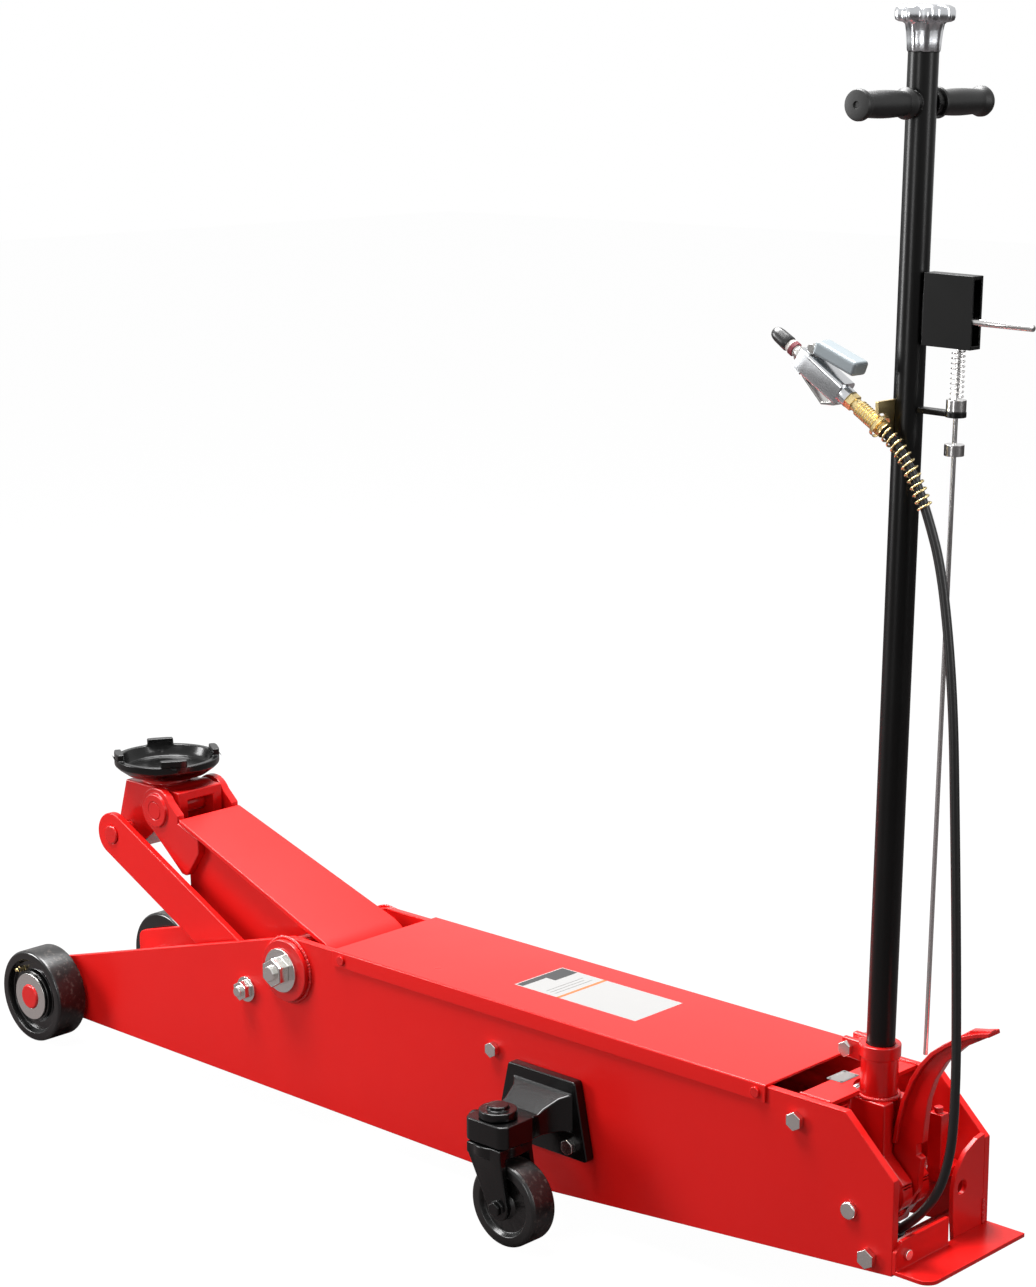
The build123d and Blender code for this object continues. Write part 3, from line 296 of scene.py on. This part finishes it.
def block(name, low, high):
    """A box between two corners in mm."""
    xs, ys, zs = zip(low, high)
    verts = [Vector((x, y, z)) * MM for x in xs for y in ys for z in zs]
    faces = [(0, 1, 3, 2), (4, 6, 7, 5), (0, 4, 5, 1), (2, 3, 7, 6), (0, 2, 6, 4), (1, 5, 7, 3)]
    return solid(name, verts, faces)


def extruded(name, outline, y0, y1):
    """A plate from an x-z outline in mm, between two y values."""
    verts = [Vector((x, y, z)) * MM for y in (y0, y1) for x, z in outline]
    count = len(outline)
    faces = [tuple(range(count)), tuple(range(count, 2 * count))]
    faces += [(i, (i + 1) % count, (i + 1) % count + count, i + count) for i in range(count)]
    return solid(name, verts, faces)


# ------------------------------------------------------------------ geometry node tools
def new_tree(name, sockets):
    """A geometry node tree with a geometry input, named inputs and a geometry output."""
    tree = bpy.data.node_groups.new(name, "GeometryNodeTree")
    tree.interface.new_socket("Path", in_out="INPUT", socket_type="NodeSocketGeometry")
    for label, kind in sockets:
        tree.interface.new_socket(label, in_out="INPUT", socket_type=kind)
    tree.interface.new_socket("Piece", in_out="OUTPUT", socket_type="NodeSocketGeometry")
    return tree, add(tree, "NodeGroupInput"), add(tree, "NodeGroupOutput")


def wire_tool():
    """Round wire along a path: springs and bent rods."""
    tree, entry, leave = new_tree("wire_on_path", [("Wire radius", "NodeSocketFloat"),
                                                  ("Finish", "NodeSocketMaterial")])
    line = add(tree, "GeometryNodeMeshToCurve", {"Mesh": entry.outputs["Path"]})
    ring = add(tree, "GeometryNodeCurvePrimitiveCircle",
               {"Resolution": 8, "Radius": entry.outputs["Wire radius"]})
    tube = add(tree, "GeometryNodeCurveToMesh", {"Curve": line.outputs["Curve"],
                                                 "Profile Curve": ring.outputs["Curve"],
                                                 "Fill Caps": True})
    whole = add(tree, "GeometryNodeRealizeInstances", {"Geometry": tube.outputs["Mesh"]})
    finish = add(tree, "GeometryNodeSetMaterial", {"Geometry": whole.outputs["Geometry"],
                                                   "Material": entry.outputs["Finish"]})
    tree.links.new(finish.outputs["Geometry"], leave.inputs["Piece"])
    return tree


def bead_tool():
    """A weld bead: overlapping drops laid along a path at a fixed pitch."""
    tree, entry, leave = new_tree("weld_bead", [("Drop radius", "NodeSocketFloat"),
                                               ("Pitch", "NodeSocketFloat"),
                                               ("Finish", "NodeSocketMaterial")])
    line = add(tree, "GeometryNodeMeshToCurve", {"Mesh": entry.outputs["Path"]})
    spots = add(tree, "GeometryNodeResampleCurve", {"Curve": line.outputs["Curve"],
                                                    "Length": entry.outputs["Pitch"]},
                mode="LENGTH")
    drop = add(tree, "GeometryNodeMeshUVSphere", {"Segments": 10, "Rings": 6,
                                                  "Radius": entry.outputs["Drop radius"]})
    sizes = add(tree, "FunctionNodeRandomValue", {"Seed": 7}, data_type="FLOAT")
    sizes.inputs[2].default_value, sizes.inputs[3].default_value = 0.86, 1.14
    laid = add(tree, "GeometryNodeInstanceOnPoints", {"Points": spots.outputs["Curve"],
                                                      "Instance": drop.outputs["Mesh"]})
    tree.links.new(sizes.outputs[1], laid.inputs["Scale"])
    whole = add(tree, "GeometryNodeRealizeInstances", {"Geometry": laid.outputs["Instances"]})
    finish = add(tree, "GeometryNodeSetMaterial", {"Geometry": whole.outputs["Geometry"],
                                                   "Material": entry.outputs["Finish"]})
    tree.links.new(finish.outputs["Geometry"], leave.inputs["Piece"])
    return tree


WIRE, BEAD = wire_tool(), bead_tool()


def grown(name, tree, lines, values, body, stands_for=(), material=None):
    """Runs a geometry node tree over lines of points in metres, as a plain mesh piece."""
    verts, edges = [], []
    for points, closed in lines:
        start = len(verts)
        verts += [tuple(p) for p in points]
        edges += [(start + i, start + i + 1) for i in range(len(points) - 1)]
        if closed:
            edges.append((start + len(points) - 1, start))
    path = bpy.data.meshes.new(name + "_path")
    path.from_pydata(verts, edges, [])
    helper = bpy.data.objects.new(name + "_path", path)
    bpy.context.collection.objects.link(helper)
    modifier = helper.modifiers.new("grow", "NODES")
    modifier.node_group = tree
    for item in tree.interface.items_tree:
        if item.in_out == "INPUT" and item.name in values:
            modifier[item.identifier] = values[item.name]
    bpy.context.view_layer.update()
    shape = helper.evaluated_get(bpy.context.evaluated_depsgraph_get())
    mesh = bpy.data.meshes.new_from_object(shape)
    bpy.data.objects.remove(helper)
    mesh.materials.clear()
    return piece(name, shaded(mesh, 60), values["Finish"], body, stands_for)


def weld(name, lines, body, drop_mm=2.4, finish=None):
    """Welds laid along the given lines."""
    return grown(name, BEAD, lines, {"Drop radius": drop_mm * MM, "Pitch": drop_mm * 0.8 * MM,
                                     "Finish": finish or RED_CAST}, body)


def circle_points(centre_mm, radius_mm, normal, count=64):
    """Points of a circle, in metres."""
    _, side, up = axes_from(normal)
    return [Vector(centre_mm) * MM + (side * cos(2 * pi * i / count)
                                      + up * sin(2 * pi * i / count)) * radius_mm * MM
            for i in range(count)]


# ------------------------------------------------------------------ handle axis
LEAN = radians(1.2)
UP = Vector((sin(LEAN), 0, cos(LEAN)))
BACK = Vector((cos(LEAN), 0, -sin(LEAN)))
FOOT = Vector((628.7, 0, 200))


def on_handle(x, y, height):
    """A point in mm from the handle's own axes."""
    return FOOT + BACK * x + Vector((0, y, 0)) + UP * height


# ------------------------------------------------------------------ dressed CAD nodes
for node, edge in (("side_plate_near", 0.9), ("side_plate_far", 0.9), ("cover", 0.6),
                   ("rear_strip", 0.6), ("foot_plate", 0.8), ("arm_side_plates", 0.8),
                   ("arm_top_plate", 1.0), ("front_links", 1.2), ("rear_bracket", 0.8)):
    dressed(node, RED_PLATE, edge)
for node, edge in (("arm_hub", 1.0), ("arm_ears", 1.6), ("lift_head", 2.0), ("yoke", 2.2),
                   ("handle_socket", 1.2), ("pivot_bosses", 1.4), ("front_axle", 0.8),
                   ("reservoir", 0.8), ("power_block", 1.0), ("valve_block", 0.8)):
    dressed(node, RED_CAST, edge)
for node, edge in (("caster_bracket_near", 2.0), ("caster_bracket_far", 2.0),
                   ("caster_fork_near", 1.6), ("caster_fork_far", 1.6), ("saddle", 1.4)):
    dressed(node, BLACK_CAST, edge)
for node, edge in (("handle_tube", 0.5), ("t_bar", 0.4), ("lever_box", 0.7)):
    dressed(node, BLACK_TUBE, edge)
def is_cover_screw(point, normal):
    """Tells the painted cover screws from the plated bolts."""
    return abs(point.z - 0.239) < 0.008 and min(abs(point.x + 0.142), abs(point.x - 0.53)) < 0.01


dressed("chassis_bolts", ZINC, 0.7, RED_CAST, is_cover_screw)
for node, edge in (("pivot_washers", 0.5), ("pivot_bolts", 0.9),
                   ("axle_washers", 0.5), ("clamp_bolt", 0.7), ("yoke_pin", 0.8),
                   ("hose_elbow", 0.8)):
    dressed(node, ZINC if node != "hose_elbow" else BLACK_CAST, edge)
for node, edge in (("link_pin", 0.8), ("tip_pin", 0.5)):
    dressed(node, RED_CAST, edge)
for node in ("pivot_shafts", "crank_roller", "ram_cylinder", "pump_plunger", "ram_rod"):
    dressed(node, TURNED_STEEL, 0.5)
dressed("hand_lever", ROD_STEEL, 0)
dressed("air_motor", ALLOY, 0.6)
dressed("latch_rod", ROD_STEEL, 0.4)
dressed("hose_clip", YELLOW_ZINC, 0.4)
dressed("spec_plate", LABEL_GREY, 0)

FRONT_AXLE = Vector((-0.732, 0, 0.065))


def on_tread(centre, radius_mm, side_normal=0.6):
    """Tells tread faces from the wheel's side faces."""
    def test(point, normal):
        reach = ((point.x - centre.x) ** 2 + (point.z - centre.z) ** 2) ** 0.5
        return reach > radius_mm * MM and abs(normal.y) < side_normal
    return test


for where in ("near", "far"):
    dressed("front_wheel_" + where, WHEEL_FACE, 0.8, TREAD, on_tread(FRONT_AXLE, 63.5))
    dressed("caster_wheel_" + where, NYLON, 0.8, TREAD,
            on_tread(Vector((0.239, 0, 0.051)), 49.5))

for side, where in ((-1, "near"), (1, "far")):
    for x, z, face, radius in ((-250, 203, 117, 10), (-329, 157, 104, 7)):
        name = "pivot_stud_%s_%d" % (where, radius)
        stud = turned(name, [(-1, 0), (-1, radius), (4, radius), (5.2, radius - 1.2), (5.2, 0)],
                      Vector((x, side * face, z)) * MM, (0, side, 0), 32)
        piece(name, stud, ZINC, "chassis")

# ------------------------------------------------------------------ welds
weld("boss_welds", [(circle_points((-246, side * 90.6, 203), 42.6, (0, 1, 0)), True)
                    for side in (-1, 1)], "chassis", 2.6)
weld("socket_weld", [(circle_points(on_handle(0, 0, 37.4), 22.4, UP), True)], "handle",
     2.6)
weld("bar_welds", [(circle_points(on_handle(0, side * 15.4, 1112), 12, (0, 1, 0)), True)
                   for side in (-1, 1)], "handle", 1.9, BLACK_TUBE)


def arm_top(x):
    """Height in mm of the arm's top surface."""
    return 346.0 - 0.35 * (x + 500.0)


weld("arm_top_welds", [([Vector((x, side * 43.2, arm_top(x) - 7.6)) * MM
                         for x in range(-498, -214, 6)], False) for side in (-1, 1)],
     "lift_arm", 2.3)
weld("strip_welds", [([Vector((x, side * 79.4, 247.4)) * MM for x in range(583, 624, 3)], False)
                     for side in (-1, 1)], "chassis", 1.7)
weld("foot_plate_welds", [([Vector((718.4, side * 80, z)) * MM for z in range(84, 112, 3)],
                           False) for side in (-1, 1)], "chassis", 2.0)
weld("lever_box_welds", [([on_handle(17.4, side * 5.2, h) * MM for h in range(880, 922, 3)],
                          False) for side in (-1, 1)], "handle", 1.8, BLACK_TUBE)

# ------------------------------------------------------------------ label on the cover
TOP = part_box("cover")[1].z * 1000
for name, low, high, finish in (
    ("label_sheet", (105, -34, TOP), (301, 52, TOP + 0.20), LABEL_WHITE),
    ("label_header", (107, -32, TOP), (117, 50, TOP + 0.35), LABEL_BLACK),
    ("label_code", (117, 10, TOP), (132, 50, TOP + 0.35), LABEL_BLACK),
    ("label_rule", (175, -34, TOP), (179.5, 52, TOP + 0.35), LABEL_ORANGE),
    ("label_bar_a", (150, -26, TOP), (151.2, 40, TOP + 0.32), LABEL_GREY),
    ("label_bar_b", (157, -26, TOP), (158.2, 34, TOP + 0.32), LABEL_GREY),
    ("label_bar_c", (164, -26, TOP), (165.2, 42, TOP + 0.32), LABEL_GREY),
):
    piece(name, block(name, low, high), finish, "chassis")

# ------------------------------------------------------------------ knob, grips
KNOB = [(0, 14), (0, 16.4), (2, 17.0), (10, 17.6), (20, 18.6), (27, 19.8), (28.6, 21.0),
        (29.4, 25.0), (31, 27.6), (34, 28.6), (40, 28.6), (43.4, 27.4), (45.6, 24.0),
        (46.6, 18.0), (46.4, 10.0), (46.0, 6.0), (46.0, 0.0)]


def lobes(angle, distance):
    """Eight finger lobes on the crown that fade to shallow flutes on the skirt."""
    crown = min(1, max(0, (distance - 27) / 3)) * min(1, max(0, (47.5 - distance) / 4))
    return 1 + (0.025 + 0.065 * crown) * cos(8 * angle)


piece("release_knob_cast", turned("release_knob_cast", KNOB, on_handle(0, 0, 1163.4) * MM, UP,
                                  112, lobes), ALLOY, "release_knob",
      ["release_knob"])
piece("release_rod_bar", turned("release_rod_bar", [(0, 0), (0, 6), (1102, 6), (1102, 0)],
                                on_handle(0, 0, 60) * MM, UP, 24), TURNED_STEEL,
      "release_knob")

GRIP_PROFILE = [(24.5, 11.4), (24.5, 15.6), (26, 16.2), (28, 16.2), (29.4, 15.2), (31, 13.8)]
GRIP_PROFILE += [(33 + i * 2.2, 12.5 + 1.4 * sin(pi * i / 29) + 0.14 * (i % 2))
                 for i in range(30)]
GRIP_PROFILE += [(100, 13.9), (102, 15.4), (104, 16.0), (107, 16.0), (109.3, 15.0), (110, 12.5),
                 (110, 4.0), (108.6, 3.0), (108.6, 0)]
for side, where in ((-1, "near"), (1, "far")):
    piece("rubber_grip_" + where,
          turned("rubber_grip_" + where, GRIP_PROFILE, on_handle(0, 0, 1112) * MM,
                 (0, side, 0), 64), GRIP, "handle", ["grips"])

# ------------------------------------------------------------------ air valve
TIP = Vector((495.5, -38, 1074))
ALONG = (Vector((648, -38, 977)) - TIP).normalized()
ACROSS = Vector((-ALONG.z, 0, ALONG.x))


def on_valve(s, up=0.0, side=0.0):
    """A point in mm from the valve's own axes."""
    return TIP + ALONG * s + ACROSS * up + Vector((0, side, 0))


def valve_turning(name, profile, finish, stands_for=(), segments=40):
    """A turned piece on the valve's axis."""
    return piece(name, turned(name, profile, TIP * MM, ALONG, segments), finish,
                 "handle", stands_for)


valve_turning("valve_dust_cap", [(0.2, 0), (0.4, 2.4), (1.3, 4.4), (3, 6.1), (6, 7.4), (10, 8.0),
                                 (20, 8.4), (25, 8.6), (26, 8.2), (26, 0)], CAP_RUBBER,
              ["dust_cap"])
valve_turning("valve_white_ring", [(26.1, 0), (26.1, 7.2), (31, 7.2), (31, 0)], WHITE_PLASTIC)
valve_turning("valve_maroon_ring", [(31.1, 0), (31.1, 8.2), (35.6, 8.2), (35.6, 0)], MAROON)
valve_turning("valve_nipple", [(35.7, 0), (35.7, 6.6), (39, 6.6), (39.5, 5.4), (47.2, 5.4),
                               (47.2, 0)], ZINC)
soften(valve_turning("valve_nut", [(40.5, 0), (40.5, 8.4), (47, 8.4), (47, 0)], ZINC,
                     (), 6), 0.5)
dressed("valve_body", ALLOY, 0.8, clamp=True)
soften(valve_turning("valve_hex", [(122, 0), (122, 9.6), (130, 9.6), (130, 0)], YELLOW_ZINC,
                     (), 6), 0.5)
RIBS = [(130.1, 0), (130.1, 7.2), (136, 7.2), (136, 8.2)]
for k in range(11):
    RIBS += [(137 + k * 3.4, 9.0), (138.6 + k * 3.4, 9.0), (139.2 + k * 3.4, 8.1),
             (140.0 + k * 3.4, 8.1)]
RIBS += [(176, 8.6), (176, 5.4), (159, 5.4), (159, 0)]
valve_turning("hose_ferrule", RIBS, YELLOW_ZINC, ["valve_fittings"])

# frosted trigger block, on a steel hinge pin at its front end
HINGE = on_valve(57, 19)
TRIGGER_ALONG = (on_valve(128, 33) - HINGE).normalized()
TRIGGER_UP = Vector((-TRIGGER_ALONG.z, 0, TRIGGER_ALONG.x))
TRIGGER_OUTLINE = [HINGE + TRIGGER_ALONG * s + TRIGGER_UP * up
                   for s, up in ((3, -4.5), (61, -4.5), (61, 11.5), (3, 11.5))]
soften(piece("frosted_trigger_block",
             extruded("frosted_trigger_block", [(p.x, p.z) for p in TRIGGER_OUTLINE], -50, -26),
             FROSTED, "valve_trigger", ["valve_trigger"]), 4.0, 5)
piece("trigger_hinge_pin",
      turned("trigger_hinge_pin", [(0, 0), (0, 4.4), (0.6, 5), (21.4, 5), (22, 4.4), (22, 0)],
             (HINGE + Vector((0, -11, 0))) * MM, (0, 1, 0), 32), ZINC, "valve_trigger")
# bent steel guard under the body
GUARD_OUTLINE = [on_valve(s, up) for s, up in ((60, -13.5), (62, -15), (98, -24), (112, -15),
                                               (113, -12), (110, -12), (97, -21.5), (62, -13))]
guard = extruded("valve_guard_strip", [(p.x, p.z) for p in GUARD_OUTLINE], -45, -31)
soften(piece("valve_guard_strip", guard, ZINC, "handle"), 0.4)

# ------------------------------------------------------------------ air hose
HOSE_R = 5.2
ROUTE = [
    (706, -60, 118), (744, -60, 150), (767, -57, 212), (768, -53, 296), (761, -47, 392),
    (753, -42, 496), (745, -38, 600), (738, -35, 690), (727, -32, 772), (713, -30, 845),
    (697, -31, 893), (680, -34, 935), tuple(on_valve(192)), tuple(on_valve(158)),
]


def spline_object(name, thickness_mm):
    """The hose's route as a smooth spline, with or without thickness."""
    curve = bpy.data.curves.new(name, "CURVE")
    curve.dimensions = "3D"
    spline = curve.splines.new("NURBS")
    spline.points.add(len(ROUTE) - 1)
    for point, place in zip(spline.points, ROUTE):
        point.co = (*(Vector(place) * MM), 1)
    spline.order_u = 3
    spline.use_endpoint_u = True
    spline.resolution_u = 14
    curve.bevel_depth = thickness_mm * MM
    curve.bevel_resolution = 5
    curve.use_fill_caps = True
    obj = bpy.data.objects.new(name, curve)
    bpy.context.collection.objects.link(obj)
    return obj


def as_mesh(obj):
    """The evaluated object as a plain mesh; the object is removed."""
    bpy.context.view_layer.update()
    shape = obj.evaluated_get(bpy.context.evaluated_depsgraph_get())
    mesh = bpy.data.meshes.new_from_object(shape)
    bpy.data.objects.remove(obj)
    return mesh


line = as_mesh(spline_object("hose_line", 0))
hose_path = [v.co.copy() for v in line.vertices]
hose_mesh = as_mesh(spline_object("hose_tube", HOSE_R))
shape = bmesh.new()
shape.from_mesh(hose_mesh)
bmesh.ops.remove_doubles(shape, verts=shape.verts, dist=1e-6)
bmesh.ops.recalc_face_normals(shape, faces=shape.faces)
shape.to_mesh(hose_mesh)
shape.free()
air_hose = bpy.data.objects.new("rubber_air_hose", shaded(hose_mesh, 50))
bpy.context.collection.objects.link(air_hose)
hose_mesh.materials.clear()
hose_mesh.materials.append(HOSE)
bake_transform(air_hose)
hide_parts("air_hose")


def coil_around(path, radius_mm, pitch_mm, steps=18):
    """Helix points around a path of points, in metres."""
    points, travelled = [], 0.0
    side = None
    for a, b in zip(path, path[1:]):
        along = (b - a).normalized()
        if side is None:
            side = along.cross(Vector((0, 1, 0))).normalized()
        side = (side - along * side.dot(along)).normalized()
        up = along.cross(side)
        length = (b - a).length
        count = max(1, int(length / (pitch_mm * MM) * steps))
        for k in range(count):
            turn = 2 * pi * (travelled + length * k / count) / (pitch_mm * MM)
            points.append(a.lerp(b, k / count)
                          + (side * cos(turn) + up * sin(turn)) * radius_mm * MM)
        travelled += length
    return points


guard_path, covered = [], 0.0
for a, b in zip(reversed(hose_path), list(reversed(hose_path))[1:]):
    covered += (b - a).length
    if 0.019 < covered < 0.112:
        guard_path.append(b)
grown("hose_guard_coil", WIRE, [(coil_around(guard_path, 7.6, 7.8), False)],
      {"Wire radius": 1.25 * MM, "Finish": YELLOW_ZINC}, "handle",
      ["hose_guard"])

# ------------------------------------------------------------------ latch spring
SPRING_PATH = [on_handle(60, 0, 797 + 18.6 + k) * MM for k in range(0, 53, 4)]
latch_coil = grown("latch_spring_coil", WIRE, [(coil_around(SPRING_PATH, 6.6, 5.2), False)],
                   {"Wire radius": 0.85 * MM, "Finish": ROD_STEEL}, "handle",
                   ["latch_spring"])
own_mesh(latch_coil)

# ------------------------------------------------------------------ foot lever
LEVER_TOP = [(657, 190), (661, 215), (668, 243), (678, 268), (690, 289), (704, 306), (720, 319),
             (736, 330), (752, 338), (766, 343), (778, 346)]


def thick_strip(points, thickness):
    """Outline of a strip with that thickness below a line of points."""
    lower = []
    for i, (x, z) in enumerate(points):
        x0, z0 = points[max(0, i - 1)]
        x1, z1 = points[min(len(points) - 1, i + 1)]
        length = ((x1 - x0) ** 2 + (z1 - z0) ** 2) ** 0.5
        lower.append((x + (z1 - z0) / length * thickness, z - (x1 - x0) / length * thickness))
    return points + lower[::-1]


soften(piece("foot_lever_plate", extruded("foot_lever_plate", thick_strip(LEVER_TOP, 5), -11,
                                          11), RED_CAST, "foot_lever"),
       1.0)
dressed("foot_lever", RED_CAST, 1.0)

# ------------------------------------------------------------------ wheel grease nipples
for side, where in ((-1, "near"), (1, "far")):
    origin = Vector((-0.762, side * 0.1345, 0.097))
    piece("grease_nipple_" + where,
          turned("grease_nipple_" + where, [(0, 0), (0, 3.9), (4.6, 3.9), (5.2, 2.2), (7.4, 2.2),
                                            (8.4, 2.9), (10.6, 2.2), (11, 0)], origin,
                 (0, side, 0), 24), YELLOW_ZINC, "front_wheel_" + where)

# ------------------------------------------------------------------ studio
floor_mesh = bpy.data.meshes.new("studio_floor")
floor_mesh.from_pydata([(-14, -14, 0), (14, -14, 0), (14, 14, 0), (-14, 14, 0)], [],
                       [(0, 1, 2, 3)])
floor = bpy.data.objects.new("studio_floor", floor_mesh)
bpy.context.collection.objects.link(floor)
floor.location.z = -0.0006
floor_paper, tree, output = blank("white_paper_sweep")
sight = add(tree, "ShaderNodeLightPath")
lit_paper = add(tree, "ShaderNodeBsdfPrincipled", {
    "Base Color": linear("#2c2c2c"), "Roughness": 1.0, "Emission Color": (1, 1, 1, 1),
    "Emission Strength": 0.985, "Specular IOR Level": 0.0})
dim_paper = add(tree, "ShaderNodeBsdfDiffuse", {"Color": linear("#5a5555")})
paper = add(tree, "ShaderNodeMixShader", {"Fac": sight.outputs["Is Camera Ray"]})
tree.links.new(dim_paper.outputs["BSDF"], paper.inputs[1])
tree.links.new(lit_paper.outputs["BSDF"], paper.inputs[2])
tree.links.new(paper.outputs["Shader"], output.inputs["Surface"])
floor_mesh.materials.append(floor_paper)

world = bpy.data.worlds.new("studio_air")
bpy.context.scene.world = world
world.use_nodes = True
air = world.node_tree.nodes["Background"]
air.inputs["Color"].default_value = (1, 1, 1, 1)
rays = add(world.node_tree, "ShaderNodeLightPath")
mirrored = add(world.node_tree, "ShaderNodeMapRange", {"Value": rays.outputs["Is Glossy Ray"],
                                                       "To Min": 0.13, "To Max": 0.75})
glow = add(world.node_tree, "ShaderNodeMapRange", {"Value": rays.outputs["Is Camera Ray"],
                                                   "To Min": mirrored.outputs["Result"],
                                                   "To Max": 1.0})
world.node_tree.links.new(glow.outputs["Result"], air.inputs["Strength"])


def softbox(name, place, target, width, height, power):
    """A rectangular area light aimed at a point."""
    lamp = bpy.data.lights.new(name, "AREA")
    lamp.shape = "RECTANGLE"
    lamp.size, lamp.size_y, lamp.energy = width, height, power
    obj = bpy.data.objects.new(name, lamp)
    bpy.context.collection.objects.link(obj)
    obj.location = place
    obj.rotation_euler = (Vector(target) - Vector(place)).to_track_quat("-Z", "Y").to_euler()


softbox("overhead_box", (-0.8, 0.1, 3.4), (-0.1, 0, 0.2), 3.2, 1.8, 430)
softbox("front_box", (-3.0, -2.4, 1.3), (-0.5, 0, 0.2), 1.0, 1.6, 95)
softbox("camera_box", (0.9, -3.9, 1.2), (0.2, 0, 0.3), 0.7, 1.4, 22)
softbox("rear_box", (3.4, 0.4, 1.8), (0.4, 0, 0.4), 0.7, 2.0, 30)

camera = bpy.data.cameras.new("jack_camera")
camera.sensor_fit = "HORIZONTAL"
camera.sensor_width = 36
camera.lens = 97.92
camera.shift_x, camera.shift_y = -0.0252, 0.0379
camera.clip_end = 60
camera_obj = bpy.data.objects.new("jack_camera", camera)
bpy.context.collection.objects.link(camera_obj)
bpy.context.scene.camera = camera_obj
look = Vector((-0.6657, 0.7119, -0.2235)).normalized()
aim = look.to_track_quat("-Z", "Y").to_matrix().to_4x4() @ Matrix.Rotation(radians(-0.17), 4, "Z")
camera_obj.matrix_world = Matrix.Translation((2.36828, -2.39986, 1.37874)) @ aim
bpy.context.scene.view_settings.view_transform = "Standard"
